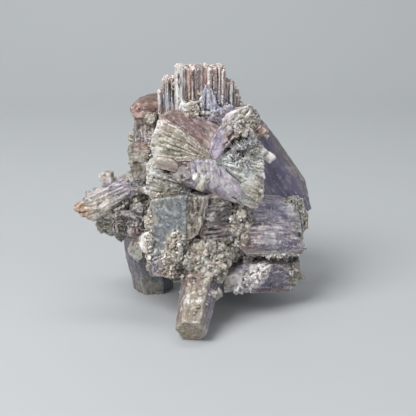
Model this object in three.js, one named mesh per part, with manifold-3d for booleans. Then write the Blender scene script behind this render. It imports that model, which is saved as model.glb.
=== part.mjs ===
// An aragonite cluster: stubby six-sided crystals, ribbed along their length, grown together into one stone.
// Millimetres, +Z up. The origin is on the surface that the stone stands on, under the middle of its box.
// The stone stands on three crystal ends: the foot in front, and one leg behind on each side.
import * as THREE from "three";
import { ConvexGeometry } from "three/addons/geometries/ConvexGeometry.js";
import { mergeVertices } from "three/addons/utils/BufferGeometryUtils.js";
import Module from "manifold-3d";

// ---- driving dimensions, mm ----
const CROWN_FLOOR = 38; // where the crown's columns start, inside the stone
const GROUND_CUT = 60; // side of the block that trims the feet flat
const RIB_DEPTH = 0.55; // how deep the flutes between ribs are
const RIB_WIDTH = 5; // an average rib on a crystal's side
const SLAT_PROUD = 0.8; // how far a loose slat stands off its crystal
const RIDGE_SEAT = 1.2; // how deep a ridge's base lies under its line
const RIDGE_TAPER = 0.4; // a ridge's size at its near end, as a share of its size at the far end

// ---- colours ----
const STONE = new THREE.MeshStandardMaterial({ color: 0x8f8289, roughness: 0.55, metalness: 0 });

// The ribbed crystals behind and below. root is inside the stone and tip is the middle of the end face.
// face is the way that the broad flat side looks. wide is the size across it, thick the size along it.
// swell is the root's size as a share of the tip's. slant tips the end face over, along both of them.
const CRYSTALS = [
  {
    name: "leg_right", root: [6, 6, 26], tip: [14.6, 19.4, -0.8], wide: 12.5, thick: 11.5,
    face: [0.4, -1, 0], swell: 1.1, slant: [-0.32, -0.5], slats: 1,
  },
  {
    name: "left_rubble_core", root: [-6, -3, 33], tip: [-18.6, -7.4, 21.4], wide: 9, thick: 9.5,
    face: [0, -1, 0.2], swell: 1.3, slant: [0.2, 0], slats: 0,
  },
  {
    name: "back_up_left", root: [1, 2, 40], tip: [-13, 20, 51], wide: 13.5, thick: 12,
    face: [0, -0.5, 1], swell: 0.85, slant: [0.2, 0.1], slats: 2,
  },
  {
    name: "back_up_right", root: [2, 3, 40], tip: [15.5, 23, 47], wide: 15, thick: 13,
    face: [0, -0.4, 1], swell: 0.85, slant: [-0.15, 0.1], slats: 2,
  },
  {
    name: "back_middle", root: [0, 4, 31], tip: [-3, 32.4, 29.5], wide: 15.5, thick: 13.5,
    face: [0.2, 0, 1], swell: 0.8, slant: [0.06, 0.04], slats: 2,
  },
  {
    name: "back_low_left", root: [-2, 3, 28], tip: [-22.4, 17, 21], wide: 12, thick: 11,
    face: [0.3, 0.2, 1], swell: 0.9, slant: [0.2, 0.1], slats: 1,
  },
  {
    name: "back_right", root: [4, 3, 30], tip: [25.5, 19.5, 31.5], wide: 13.5, thick: 12,
    face: [0, 0.2, 1], swell: 0.85, slant: [-0.2, 0], slats: 1,
  },
  {
    name: "side_right", root: [6, 4, 20], tip: [28, 8.6, 16.5], wide: 12, thick: 11,
    face: [0, 0.5, 1], swell: 0.95, slant: [0.1, 0.1], slats: 1,
  },
];

// The crystals in front, each the hull of its corners and of the same corners moved back.
// narrow is the size behind as a share of the size in front.
const BLOCKS = [
  {
    name: "bow_top", back: [0, 11, -3], narrow: 0.85,
    corners: [
      [-9.5, -12.6, 56.7], [-9.5, -11.4, 57.8], [-5.6, -8, 59.1], [-0.9, -7.4, 58.4],
      [1.6, -8, 56.8], [6.8, -8.6, 54.4], [5.2, -13, 48.7], [1.6, -14, 49.8], [-4.1, -13.8, 54.2],
    ],
  },
  {
    name: "bow_band", back: [0, 12, 0], narrow: 0.85,
    corners: [
      [-9.5, -12.8, 56.9], [-11.6, -14.8, 52.5], [-12, -15.2, 49.5], [-10.6, -15.2, 46.4],
      [-5.7, -15.2, 44.8], [-0.6, -15.2, 44.2], [4.6, -15, 45.5], [5.2, -14.4, 47.5],
      [1.6, -15, 50.3], [-4, -14.6, 54.8], [-7.5, -13.8, 56.6],
    ],
  },
  {
    name: "bow_wedge", back: [0, 7, 0], narrow: 0.9,
    corners: [
      [-10.7, -15.6, 46.5], [-9.7, -16, 47.3], [-5.7, -16.4, 46.7], [-4.3, -16.2, 45],
      [-5.2, -15.2, 42.8], [-10.1, -15.2, 44.2],
    ],
  },
  {
    name: "bow_mauve", back: [0, 7, 0], narrow: 0.9,
    corners: [
      [-6.3, -15.4, 45.4], [-3.3, -15.8, 46], [0.5, -16, 45.8], [1.6, -15.8, 41.5],
      [0.5, -14.8, 37.8], [-6.1, -14.4, 41.2],
    ],
  },
  {
    name: "bow_glossy", back: [0, 8, 0], narrow: 0.9,
    corners: [
      [-1.1, -16, 45.8], [2.2, -16.4, 46.5], [5.7, -16, 46.1], [7.1, -16.2, 43.3],
      [6.3, -15.8, 39], [1.9, -15.4, 38], [-0.8, -15.8, 41.5],
    ],
  },
  {
    name: "bow_lower", back: [0, 8, 0], narrow: 0.9,
    corners: [
      [5.4, -15.4, 44.8], [7.6, -15.8, 44.1], [9.8, -16, 40.7], [12.6, -15.6, 37.2],
      [17.7, -13.8, 33.5], [16.6, -13.6, 32.3], [12.1, -14.2, 33.7], [1.6, -14.2, 37.1],
      [2.2, -15.4, 40.3],
    ],
  },
  {
    name: "bow_right", back: [0, 11, 0], narrow: 0.85,
    corners: [
      [5.2, -14, 47], [9.3, -11.6, 47.8], [13.8, -9.6, 47.9], [18.8, -8.4, 46.7],
      [14.2, -13.6, 45.2], [19.3, -11.8, 43.9], [19.5, -12.6, 40.7], [19, -13.4, 36.9],
      [17.4, -13.2, 32.8], [11.5, -14.8, 35], [4.9, -14.6, 38.9], [5.2, -15, 44.1],
    ],
  },
  {
    name: "bow_right_end", back: [0, 8, 0], narrow: 0.9,
    corners: [
      [12.6, -14.4, 39.4], [16.4, -14, 40.8], [19.4, -12.8, 39.3], [19.3, -13, 35.6],
      [17.7, -13.2, 32.2], [15.4, -14, 32.9], [12.6, -14.8, 35], [11.5, -15, 37.6],
    ],
  },
  {
    name: "bow_valley", back: [0, 8, -1], narrow: 0.9,
    corners: [
      [4.1, -14.8, 46.9], [6.3, -14.6, 46.6], [9.5, -12.2, 49.9], [11.5, -10, 53.6],
      [8.2, -9.4, 55.5], [4.9, -12.8, 52],
    ],
  },
  {
    name: "ear", back: [0, 8, -1], narrow: 0.9,
    corners: [
      [7.6, -9.4, 56.3], [9.8, -9.2, 58.5], [13.1, -8.8, 59.5], [15.6, -8, 60.3],
      [17.9, -6.6, 57.7], [18.8, -7, 53.5], [15.4, -9.4, 52.6], [12, -11, 51.3],
      [9.3, -11.8, 50.9], [7.6, -10.8, 53.8],
    ],
  },
  {
    name: "bow_under", back: [0, 9, 0], narrow: 0.9,
    corners: [
      [-12.9, -11.8, 44.7], [-11.3, -13.4, 44.9], [-6.1, -13.6, 42.1], [-0.6, -13.6, 38.4],
      [-0.9, -13, 35.9], [-2.9, -12.8, 35], [-12.3, -13, 34.5], [-13.7, -12.6, 36.4],
      [-13.3, -12, 41.1],
    ],
  },
  {
    name: "violet_blade", back: [-4, 11, -1], narrow: 0.8,
    corners: [
      [13.7, 0, 55.8], [19.3, 3, 54], [23.1, 2.2, 49.5], [26.4, 1.5, 44.6], [32.3, 0.5, 36.5],
      [34.2, 0, 27.9], [30.7, -1, 25.1], [19.4, -4, 29.7], [12.9, -4, 46.6],
    ],
  },
  {
    name: "grey_block", back: [5, 12, 0], narrow: 0.9,
    corners: [
      [-12.2, -14, 35], [-2.2, -17.4, 36.9], [-2.5, -18, 24.4], [-5.7, -18.4, 13.4],
      [-12.5, -16.6, 13], [-13.9, -14.6, 19.7], [-13.8, -14, 27.5],
    ],
  },
  {
    name: "tan_columns", back: [0, 8, 0], narrow: 0.9,
    corners: [
      [-2.8, -16.4, 36.3], [2.4, -16.4, 36.9], [2.7, -17, 24.7], [-2, -17.8, 23.8],
    ],
  },
  {
    name: "ribbed_lump", back: [0, 10, 0], narrow: 0.9,
    corners: [
      [-1.2, -14.4, 35.7], [5.7, -15, 37], [10.5, -13, 34.5], [11.3, -13, 28], [9.7, -13.6, 22],
      [1.8, -15.6, 21.6], [5.4, -17, 30.5],
    ],
  },
  {
    name: "maroon_block", back: [2, 9, 0], narrow: 0.85,
    corners: [
      [-12.4, -17, 18.5], [-9.5, -18, 20], [-6.4, -18.6, 19.4], [-5.6, -18.8, 15.3],
      [-7.3, -18.8, 13.5], [-11.6, -17.4, 13.6],
    ],
  },
  {
    name: "drusy_patch", back: [0, 5, 0], narrow: 0.9,
    corners: [
      [-7.2, -18, 25.6], [-5, -18.6, 27], [-3.1, -18.8, 24.7], [-3.1, -19, 20.1],
      [-5, -19.2, 17.8], [-7.3, -18.8, 19.5], [-7.8, -18.4, 22.8],
    ],
  },
  {
    name: "rounded_end", back: [0, 9, 0], narrow: 0.9,
    corners: [
      [1.6, -20, 17.5], [3.3, -20.4, 19.2], [7.7, -19.4, 18.2], [9.4, -18.6, 15.2],
      [8.3, -18.4, 12.2], [3.8, -19.6, 12.1], [1.9, -20.2, 14.7],
    ],
  },
  {
    name: "shoulder", back: [0, 10, 2], narrow: 0.9,
    corners: [
      [13.7, -9, 32.4], [19.1, -7, 33], [24.3, -6, 32.1], [27.6, -5, 30.6], [30.4, -4, 27.3],
      [31, -5, 22.1], [15.7, -10, 24.1],
    ],
  },
  {
    name: "druse_right", back: [-1, 8, 0], narrow: 0.9,
    corners: [
      [25.9, -4.6, 31.7], [28.5, -4, 33], [31.3, -2.4, 31.9], [33.3, -1.4, 26.8],
      [32.4, -2.4, 22.8], [31.2, -3.4, 19.1], [27.5, -5.6, 21.4],
    ],
  },
  {
    name: "lilac_bullet", back: [0, 9, 0], narrow: 0.9,
    corners: [
      [13.4, -12.4, 25.2], [15.3, -12, 26.1], [20.8, -10.6, 26.1], [25.7, -9.4, 25.4],
      [30.2, -8.2, 21.4], [32.3, -7.4, 18.1], [30.3, -8.2, 16.2], [24.4, -10.6, 16.5],
      [14.5, -13, 18], [12.8, -13.6, 20.3], [12.4, -13.2, 22.8], [17.3, -14.2, 22],
      [24.1, -12, 21.5],
    ],
  },
  {
    name: "shelf", back: [0, 8, 0], narrow: 0.9,
    corners: [
      [13.8, -10, 16.9], [30.5, -6, 16.4], [30.6, -6.4, 10.6], [13, -10.4, 12.4],
    ],
  },
  {
    name: "low_right", back: [0, 12, 2], narrow: 0.9,
    corners: [
      [9.5, -13.4, 13], [14.6, -13, 14.3], [19.2, -12, 15.2], [29.3, -7.4, 13.2], [30, -7.6, 7.3],
      [28.3, -8.4, 5.2], [12.9, -13.4, 6.6], [8.9, -14.4, 8.8],
    ],
  },
  {
    name: "crest", back: [0, 6, -1], narrow: 1,
    corners: [
      [11.8, -13.8, 7], [13.7, -13.8, 11], [15.7, -14.2, 10.2], [17.7, -13.2, 13.2],
      [19.4, -13.2, 12.3], [20.9, -11.6, 15], [21.5, -11.8, 13.3], [19.5, -13, 9.5],
      [15.2, -14, 7.1],
    ],
  },
  {
    name: "crest_low", back: [0, 5, 0], narrow: 0.9,
    corners: [
      [9.2, -15, 12.1], [11.1, -15.2, 13.4], [13.4, -15, 12.4], [13.7, -14.8, 9.3],
      [11.8, -14.8, 7.7], [9.5, -15, 8.4],
    ],
  },
  {
    name: "low_right_end", back: [0, 6, 0], narrow: 0.9,
    corners: [
      [24.6, -8.6, 12.1], [27.6, -7.6, 12.9], [29.7, -7, 11.5], [30, -7.4, 7.6], [27.7, -8.6, 5.6],
      [25, -9.2, 7.4],
    ],
  },
  {
    name: "crown_patch", back: [0, 4, 0], narrow: 1,
    corners: [
      [1.6, -4.8, 61.3], [3.2, -4.2, 63.7], [5.2, -4.2, 63.4], [7.1, -4.4, 61.5], [8, -5.6, 56.1],
      [1, -6.4, 56], [0.7, -5.6, 59.5],
    ],
  },
  {
    name: "crown_tan_lump", back: [0, 5, 0], narrow: 0.9,
    corners: [
      [-2.9, -6, 59.3], [-1.2, -5.6, 60.9], [1, -6, 60.4], [1.9, -7, 58.6], [1.3, -7.8, 56.8],
      [-2, -7.6, 57],
    ],
  },
  {
    name: "crown_pale_lump", back: [0, 5, 0], narrow: 0.9,
    corners: [
      [-4.5, -6, 59], [-3.4, -5.6, 60.6], [-2, -5.8, 60.1], [-1.7, -6.8, 58.6], [-3.1, -7.2, 57.8],
      [-4.5, -7, 58],
    ],
  },
  {
    name: "left_arm", back: [2.4, 8, -1], narrow: 0.85,
    corners: [
      [-20.4, -8, 40.4], [-23.6, -9.6, 39], [-27.5, -10.8, 37], [-33.9, -11.2, 32.5],
      [-33.7, -12.4, 31.4], [-32, -12.2, 29.3], [-28.1, -13, 28.3], [-23.4, -13.6, 32.3],
      [-19.5, -13, 34.7], [-17.6, -12.4, 37.2],
    ],
  },
  {
    name: "left_arm_under", back: [2.4, 8, 0], narrow: 0.85,
    corners: [
      [-28, -11.4, 27.8], [-25.2, -13, 30.1], [-19.6, -13, 33.3], [-18.7, -12, 26.5],
      [-20.9, -10.6, 22.5], [-24.8, -10.4, 23.6],
    ],
  },
  {
    name: "pink_knob", back: [1.4, 4, 0], narrow: 0.9,
    corners: [
      [-28.2, -10, 26.5], [-26.6, -11, 28], [-25, -11, 27.1], [-25.1, -10.2, 24.8],
      [-26.6, -9.6, 23.2], [-27.7, -9.6, 24.6],
    ],
  },
  {
    name: "cube", back: [1, 4, 0], narrow: 0.9,
    corners: [
      [-26.9, -9.6, 41], [-25.3, -9, 41.6], [-23.6, -9.4, 41], [-23.2, -10.6, 38.7],
      [-25.5, -10.6, 37.8], [-26.7, -10.2, 39.7],
    ],
  },
  {
    name: "ledge", back: [2, 12, 0], narrow: 0.85,
    corners: [
      [-18.7, 1, 56.5], [-18.5, 2, 58.3], [-15.9, 3, 60], [-10.5, 4, 60.2], [-10.4, 0, 55.5],
      [-13.8, -1, 55.1], [-17.5, 0, 55.1],
    ],
  },
  {
    name: "ledge_knob", back: [1, 6, 0], narrow: 0.9,
    corners: [
      [-14.3, -1, 55.4], [-13.2, -1.4, 56.7], [-11.4, -1.6, 56.4], [-10.9, -2.6, 54.6],
      [-12.6, -3, 53.3], [-14, -2, 53.9],
    ],
  },
  {
    name: "post", back: [0.4, 9, 0], narrow: 0.9,
    corners: [
      [-17.3, 1, 54.7], [-10.7, 0, 55.8], [-10.7, -2.6, 48], [-17.3, -1.4, 47.4],
    ],
  },
  {
    name: "knob_left", back: [2.4, 8, 0], narrow: 0.85,
    corners: [
      [-19.2, -3.4, 46.1], [-18.6, -2.6, 47.7], [-16.4, -2.4, 48.5], [-13.5, -3.6, 47.9],
      [-12.8, -5.8, 45.2], [-14.5, -7, 43.5], [-17.6, -6.4, 43.7], [-18.9, -5, 44.8],
    ],
  },
  {
    name: "oval", back: [2.4, 7, 0], narrow: 0.85,
    corners: [
      [-17.7, -6.4, 40.8], [-16.8, -5.8, 42.9], [-14.2, -6.4, 44.2], [-12.4, -7.8, 43.4],
      [-12.7, -8.8, 40.8], [-14.7, -9.4, 38.6], [-17, -8.4, 39.2],
    ],
  },
  {
    name: "knob_low", back: [1.4, 5, 0], narrow: 0.9,
    corners: [
      [-21.2, -8.6, 38.1], [-20.1, -7.8, 39.7], [-18.4, -8, 40.3], [-17.2, -9.4, 39.2],
      [-17.4, -10.6, 37.2], [-19.7, -10.2, 36.8],
    ],
  },
  {
    name: "white_lump", back: [1, 6, 0], narrow: 0.9,
    corners: [
      [-15.4, -15.4, 24.1], [-14.2, -16.2, 25.9], [-12.8, -16.8, 26.4], [-11.6, -17, 24.4],
      [-12.1, -16.4, 20.9], [-14.1, -15.6, 19.5], [-15.2, -15.4, 21.8],
    ],
  },
  {
    name: "tan_wedge", back: [2, 8, 0], narrow: 0.9,
    corners: [
      [-19.1, -12, 19.7], [-17.9, -12.4, 22.5], [-15.8, -13.4, 24.9], [-14.6, -15, 22.5],
      [-14.7, -14.8, 18], [-16.2, -13.8, 16.4], [-18.3, -12.8, 17.9],
    ],
  },
  {
    name: "foot", back: [2.9, 19.5, 9.6], narrow: 1.35,
    corners: [
      [3.7, -32.7, 3], [1.5, -34.5, 6.7], [-3, -33.8, 7], [-5.1, -31.3, 3.7], [-2.9, -29.5, -0.3],
      [1.6, -30.2, -0.6],
    ],
  },
  {
    name: "leg_left", back: [-3, -3.2, 26.6], narrow: 1.18,
    corners: [
      [-6.9, 8.8, 0.2], [-9.4, 2.7, -0.1], [-15.5, 2.1, -0.9], [-19.1, 7.6, -1.4],
      [-16.6, 13.7, -1.1], [-10.5, 14.3, -0.3],
    ],
  },
];

// Ridges along the blocks: the two ends of each one's middle line, its width at the far end, and how far it
// stands out of the line. All of them look forward.
const RIDGES = [
  // the band of the bow tie, spread from its waist
  { from: [4.3, -14.8, 46.9], to: [-9.7, -13.2, 56], wide: 2.6, proud: 0.8 },
  { from: [4.3, -14.8, 46.9], to: [-11.3, -14.6, 53], wide: 2.6, proud: 0.8 },
  { from: [4.3, -14.8, 46.9], to: [-11.9, -15.1, 50.3], wide: 2.6, proud: 0.8 },
  { from: [4.3, -14.8, 46.9], to: [-10.9, -15.2, 47.3], wide: 2.6, proud: 0.8 },
  // the bow tie's right half
  { from: [6.3, -14.4, 45.4], to: [18.7, -12.1, 42.2], wide: 2.6, proud: 0.7 },
  { from: [6.3, -14.4, 45.4], to: [19.3, -12.9, 38.5], wide: 2.6, proud: 0.7 },
  { from: [6.3, -14.4, 45.4], to: [16, -13.9, 33.6], wide: 2.6, proud: 0.7 },
  // the ear
  { from: [7.6, -11, 52.2], to: [15.3, -8.4, 59.7], wide: 2.6, proud: 0.9 },
  { from: [9.8, -11.6, 51.2], to: [17.6, -7.2, 57], wide: 2.6, proud: 0.9 },
  // the left arm
  { from: [-20.3, -9.2, 39.8], to: [-29.7, -11, 35.3], wide: 2, proud: 0.7 },
  { from: [-19.5, -12, 38.2], to: [-33.1, -11.8, 32.1], wide: 2, proud: 0.7 },
  { from: [-19.5, -12.8, 36.4], to: [-30.9, -12.4, 30.1], wide: 2, proud: 0.7 },
  { from: [-20, -13.2, 34.8], to: [-28, -13, 29.2], wide: 2, proud: 0.7 },
  // the tan columns
  { from: [-1.5, -17.4, 23.9], to: [-1.7, -16.4, 36.3], wide: 1.5, proud: 0.7 },
  { from: [0.2, -17.2, 24.2], to: [-0, -16.4, 36.6], wide: 1.5, proud: 0.7 },
  { from: [1.9, -17, 24.7], to: [1.6, -16.4, 36.6], wide: 1.5, proud: 0.7 },
  // the ribbed lump
  { from: [-0.6, -15.2, 33.7], to: [10.5, -13, 32.7], wide: 1.9, proud: 0.9 },
  { from: [-0.6, -15.8, 31.5], to: [11, -13.2, 30.4], wide: 1.9, proud: 0.9 },
  { from: [-0.1, -16, 29.3], to: [11.1, -13.4, 28.2], wide: 1.9, proud: 0.9 },
  { from: [0.5, -16.2, 27], to: [10.5, -13.6, 25.9], wide: 1.9, proud: 0.9 },
  { from: [1, -15.8, 24.6], to: [10, -13.8, 23.6], wide: 1.9, proud: 0.9 },
  // the shoulder, the shelf and the violet blade's rim
  { from: [14.6, -9.4, 26.9], to: [30.4, -4.8, 24.8], wide: 2, proud: 0.8 },
  { from: [13.5, -9.8, 15.3], to: [30.5, -6.1, 14.9], wide: 2, proud: 0.8 },
  { from: [13.6, -10, 13.5], to: [30.6, -6.3, 12.5], wide: 2, proud: 0.8 },
  { from: [19.3, 2.2, 52.7], to: [33, -0.2, 29.2], wide: 2, proud: 0.8 },
];

// The crown's front ribs from left to right: the x where each starts, its top, and its front's y.
const CROWN_RIBS = [
  [-10.6, 62.6, 0.6],
  [-8.3, 66.4, -0.8],
  [-5.5, 69.9, -3.6],
  [-3.3, 69.0, -3.0],
  [-1.3, 69.6, -3.4],
  [0.6, 69.0, -2.7],
  [2.4, 69.8, -3.3],
  [4.4, 69.1, -3.0],
  [6.4, 69.6, -3.5],
  [8.2, 65.4, -2.4],
  [10.4, 61.8, -1.3],
  [12.0, 59.0, 0.2],
];
const CROWN_RIGHT = 13.6; // where the last rib ends
const CROWN_FRONT_DEPTH = 4.6; // how far back the front ribs reach

// The crown's columns behind the front ribs: left and right side, top, near and far side.
const CROWN_BACK = [
  [-9.4, -4.6, 65.6, 4.4, 10],
  [-4.8, -0.4, 67.8, 4.4, 9.2],
  [-0.6, 3.4, 66.6, 4.4, 10.4],
  [3.2, 7.8, 67.4, 4.4, 9.6],
  [7.6, 12.6, 62.8, 4.4, 10.6],
  [-5.6, 0.4, 63.4, 9, 15],
  [0.2, 6.2, 64.6, 9.4, 15.6],
  [6, 10.6, 60.4, 9.4, 14],
];

// Lumps of the stone that the crystals grow out of: centre and half sizes.
const HEARTS = [
  { at: [1, 0.5, 35], half: [13, 11.5, 17] },
  { at: [4, -1, 19], half: [15, 12.5, 11.5] },
  { at: [2.4, -10.6, 17.6], half: [9, 8.6, 8.4] },
  { at: [15, 2, 20], half: [12, 10, 12] },
  { at: [14, -5, 47], half: [5.4, 4, 4.6] },
  { at: [-12.6, 1, 39], half: [5, 6.4, 12] },
  { at: [-16, -4.4, 29.6], half: [7.4, 6.6, 8] },
  { at: [3, -7, 42], half: [12.6, 6, 7] },
  { at: [12, -8, 50], half: [6, 3.4, 7] },
  { at: [19, -1, 21], half: [11, 6.4, 8.6] },
  { at: [12, -8, 26], half: [5, 5, 8] },
];

// Single small crystals that stand out on the outline or by their colour: centre, length and width.
const KNOBS = [
  { at: [-15.4, 1.6, 56.6], long: 4, wide: 3.4, along: [-0.6, -0.3, 1] },
  { at: [8.6, -3.4, 56], long: 7, wide: 3.6, along: [0.2, -0.1, 1] },
  { at: [-17.4, -8.6, 33.4], long: 5, wide: 3.8, along: [-0.6, -1, 0.5] },
  { at: [-14.8, -10.4, 30.6], long: 5, wide: 4.2, along: [0.1, -1, 0.5] },
  { at: [-18.6, -10.4, 28.8], long: 5.4, wide: 3.8, along: [-0.8, -1, 0.1] },
  { at: [-15.6, -11, 26.2], long: 5, wide: 3.8, along: [-0.2, -1, -0.4] },
  { at: [-23, -8.4, 24.8], long: 5, wide: 4, along: [-0.4, -0.2, -1] },
  { at: [-20.4, -7.6, 23], long: 5.4, wide: 4.4, along: [-0.6, -0.2, -0.9] },
  { at: [-13.4, -8.6, 36.4], long: 4, wide: 3.6, along: [-0.2, -1, 0.2] },
  { at: [2.2, -16.2, 40.2], long: 4, wide: 3.4, along: [-0.25, -0.5, -1] },
  { at: [0.8, -16.2, 41.8], long: 3, wide: 3, along: [-0.6, -1, 0.6] },
  { at: [18.6, -6, 52.4], long: 3.4, wide: 3, along: [0.6, -0.2, 0.6] },
  { at: [19.6, -6.4, 51.6], long: 3, wide: 2.2, along: [0.8, -0.3, -0.5] },
  { at: [18, -7.4, 47.6], long: 4.4, wide: 3.6, along: [0.8, -0.5, -0.5] },
  { at: [20.4, -6.6, 45.4], long: 4, wide: 3, along: [0.8, -0.3, -0.6] },
  { at: [30.6, -1, 23.6], long: 5, wide: 5.2, along: [1, -0.1, 0.2] },
  { at: [6.6, -16.6, 8.6], long: 2.6, wide: 2.4, along: [0.7, -0.8, -0.4] },
];

// Patches of crust: small crystals seeded where a ray from outside, going along inward, meets the stone.
const CRUSTS = [
  { over: [1.5, -40, 17], inward: [0, 1, 0], spread: [8, 7.5], count: 14, size: [2, 3.4], seed: 11 },
  { over: [-18, -40, 28], inward: [0.1, 1, 0], spread: [4.6, 6.6], count: 7, size: [2.2, 3.6], seed: 12 },
  { over: [12.4, -40, 25], inward: [0, 1, 0], spread: [2.4, 7], count: 5, size: [1.8, 2.8], seed: 13 },
  { over: [2, 50, 32], inward: [0, -1, 0], spread: [20, 18], count: 10, size: [2.2, 4], seed: 15 },
  { over: [50, 16, 26], inward: [-1, 0, 0], spread: [6, 14], count: 5, size: [2, 3.4], seed: 16 },
  { over: [-50, 10, 30], inward: [1, 0, 0], spread: [12, 14], count: 5, size: [2, 3.4], seed: 17 },
];

const wasm = await Module();
wasm.setup();

// ---- small tools ----

// A repeatable stream of numbers from 0 to 1.
function randomFrom(seed) {
  let state = seed * 7919 + 17;
  return () => {
    state = (state * 1664525 + 1013904223) % 4294967296;
    return state / 4294967296;
  };
}

const between = (random, low, high) => low + (high - low) * random();

// A closed geometry as a solid that can be joined and cut.
function solidOf(geometry) {
  const bare = geometry.index ? geometry.toNonIndexed() : geometry.clone();
  bare.deleteAttribute("normal");
  bare.deleteAttribute("uv");
  const merged = mergeVertices(bare, 1e-4);
  return new wasm.Manifold(
    new wasm.Mesh({
      numProp: 3,
      vertProperties: merged.attributes.position.array,
      triVerts: new Uint32Array(merged.index.array),
    }),
  );
}

// A solid as a geometry.
function geometryOf(solid) {
  const mesh = solid.getMesh();
  const geometry = new THREE.BufferGeometry();
  geometry.setAttribute("position", new THREE.BufferAttribute(mesh.vertProperties, mesh.numProp));
  geometry.setIndex(new THREE.BufferAttribute(mesh.triVerts, 1));
  return geometry;
}

// The frame of a crystal: its own z runs along it and its own y is the way its broad side faces.
function crystalFrame(root, tip, face) {
  const along = new THREE.Vector3().subVectors(tip, root).normalize();
  const out = face.clone().addScaledVector(along, -face.dot(along)).normalize();
  const across = new THREE.Vector3().crossVectors(out, along);
  return new THREE.Matrix4().makeBasis(across, out, along).setPosition(root);
}

// ---- crystal shapes ----

// The six corners of a crystal's section, which is flat on its two broad sides.
function hexagon(wide, thick) {
  const chamfer = Math.min(thick * 0.29, wide * 0.25);
  const x = wide / 2;
  const y = thick / 2;
  return [
    [x, 0],
    [x - chamfer, y],
    [chamfer - x, y],
    [-x, 0],
    [chamfer - x, -y],
    [x - chamfer, -y],
  ].map(([px, py]) => new THREE.Vector2(px, py));
}

// A crystal's section whose sides are fluted: a shallow valley between each rib and the next.
function flutedSection(wide, thick, random) {
  const corners = hexagon(wide, thick);
  const points = [];
  corners.forEach((from, i) => {
    const to = corners[(i + 1) % corners.length];
    const inward = new THREE.Vector2(from.y - to.y, to.x - from.x).normalize();
    const ribs = Math.round(from.distanceTo(to) / RIB_WIDTH);
    points.push(from);
    for (let rib = 1; rib < ribs; rib++) {
      const valley = (rib + between(random, -0.25, 0.25)) / ribs;
      const sunk = RIB_DEPTH * between(random, 0.5, 1);
      points.push(from.clone().lerp(to, valley).addScaledVector(inward, sunk));
      const ridge = valley + between(random, 0.15, 0.4) / ribs;
      const low = RIB_DEPTH * between(random, 0, 0.3);
      points.push(from.clone().lerp(to, ridge).addScaledVector(inward, low));
    }
  });
  return new THREE.Shape(points);
}

// A straight prism from root to tip that swells towards its root and ends on a slanted face.
function prism(section, root, tip, face, swell, slant) {
  const length = root.distanceTo(tip);
  const geometry = new THREE.ExtrudeGeometry(section, { depth: length, bevelEnabled: false, steps: 1 });
  const position = geometry.attributes.position;
  for (let i = 0; i < position.count; i++) {
    const atTip = position.getZ(i) > length / 2;
    const x = position.getX(i) * (atTip ? 1 : swell);
    const y = position.getY(i) * (atTip ? 1 : swell);
    position.setXYZ(i, x, y, position.getZ(i) + (atTip ? slant[0] * x + slant[1] * y : 0));
  }
  return geometry.applyMatrix4(crystalFrame(root, tip, face));
}

const rectangle = (wide, thick) =>
  new THREE.Shape([
    new THREE.Vector2(-wide / 2, -thick / 2),
    new THREE.Vector2(wide / 2, -thick / 2),
    new THREE.Vector2(wide / 2, thick / 2),
    new THREE.Vector2(-wide / 2, thick / 2),
  ]);

// Loose slats lie along a crystal's sides and end short of its tip or a little past it.
function slatsOn(crystal, root, tip, face, random) {
  const corners = hexagon(crystal.wide, crystal.thick);
  const frame = crystalFrame(root, tip, face);
  const length = root.distanceTo(tip);
  const slats = [];
  for (let i = 0; i < crystal.slats; i++) {
    const side = i % corners.length;
    const from = corners[side];
    const to = corners[(side + 1) % corners.length];
    const middle = from.clone().lerp(to, between(random, 0.3, 0.7));
    const outward = new THREE.Vector2(to.y - from.y, from.x - to.x).normalize();
    const wide = from.distanceTo(to) * between(random, 0.3, 0.5);
    const thick = 2 * between(random, 0.6, 1.2);
    const seat = middle.addScaledVector(outward, SLAT_PROUD - thick / 2);
    const start = new THREE.Vector3(seat.x, seat.y, length * 0.25).applyMatrix4(frame);
    const end = new THREE.Vector3(seat.x, seat.y, length * between(random, 0.72, 1.03)).applyMatrix4(frame);
    const out = new THREE.Vector3(outward.x, outward.y, 0).transformDirection(frame);
    const slant = [between(random, -0.3, 0.3), 0];
    slats.push(prism(rectangle(wide, thick), start, end, out, crystal.swell, slant));
  }
  return slats;
}

const vector = (list) => new THREE.Vector3(...list);

// A convex block through its corners and the same corners further back.
function blockOf({ corners, back, narrow }) {
  const front = corners.map(vector);
  const middle = new THREE.Vector3();
  front.forEach((corner) => middle.addScaledVector(corner, 1 / front.length));
  const rear = middle.clone().add(vector(back));
  const behind = front.map((corner) => corner.clone().sub(middle).multiplyScalar(narrow).add(rear));
  return new ConvexGeometry([...front, ...behind]);
}

// A long low ridge with a three-sided section.
function ridgeOf({ from, to, wide, proud }) {
  const section = new THREE.Shape([
    new THREE.Vector2(-wide / 2, -RIDGE_SEAT),
    new THREE.Vector2(wide / 2, -RIDGE_SEAT),
    new THREE.Vector2(0, proud),
  ]);
  return prism(section, vector(from), vector(to), new THREE.Vector3(0, -1, 0.1), RIDGE_TAPER, [0, 0]);
}

function crystalPieces(crystal, index) {
  const random = randomFrom(index + 1);
  const [root, tip, face] = [crystal.root, crystal.tip, crystal.face].map(vector);
  const section = flutedSection(crystal.wide, crystal.thick, random);
  return [
    prism(section, root, tip, face, crystal.swell, crystal.slant),
    ...slatsOn(crystal, root, tip, face, random),
  ];
}

// The crown is a sheaf of upright columns, each with its own top.
function crownColumn(left, right, top, near, far, random) {
  const overlap = 0.15;
  const root = new THREE.Vector3((left + right) / 2, (near + far) / 2, CROWN_FLOOR);
  const section = new THREE.Shape(hexagon(far - near + overlap, right - left + 2 * overlap));
  const slant = [between(random, -0.2, 0.2), between(random, -0.3, 0.3)];
  return prism(section, root, root.clone().setZ(top), new THREE.Vector3(1, 0, 0), 1, slant);
}

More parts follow.
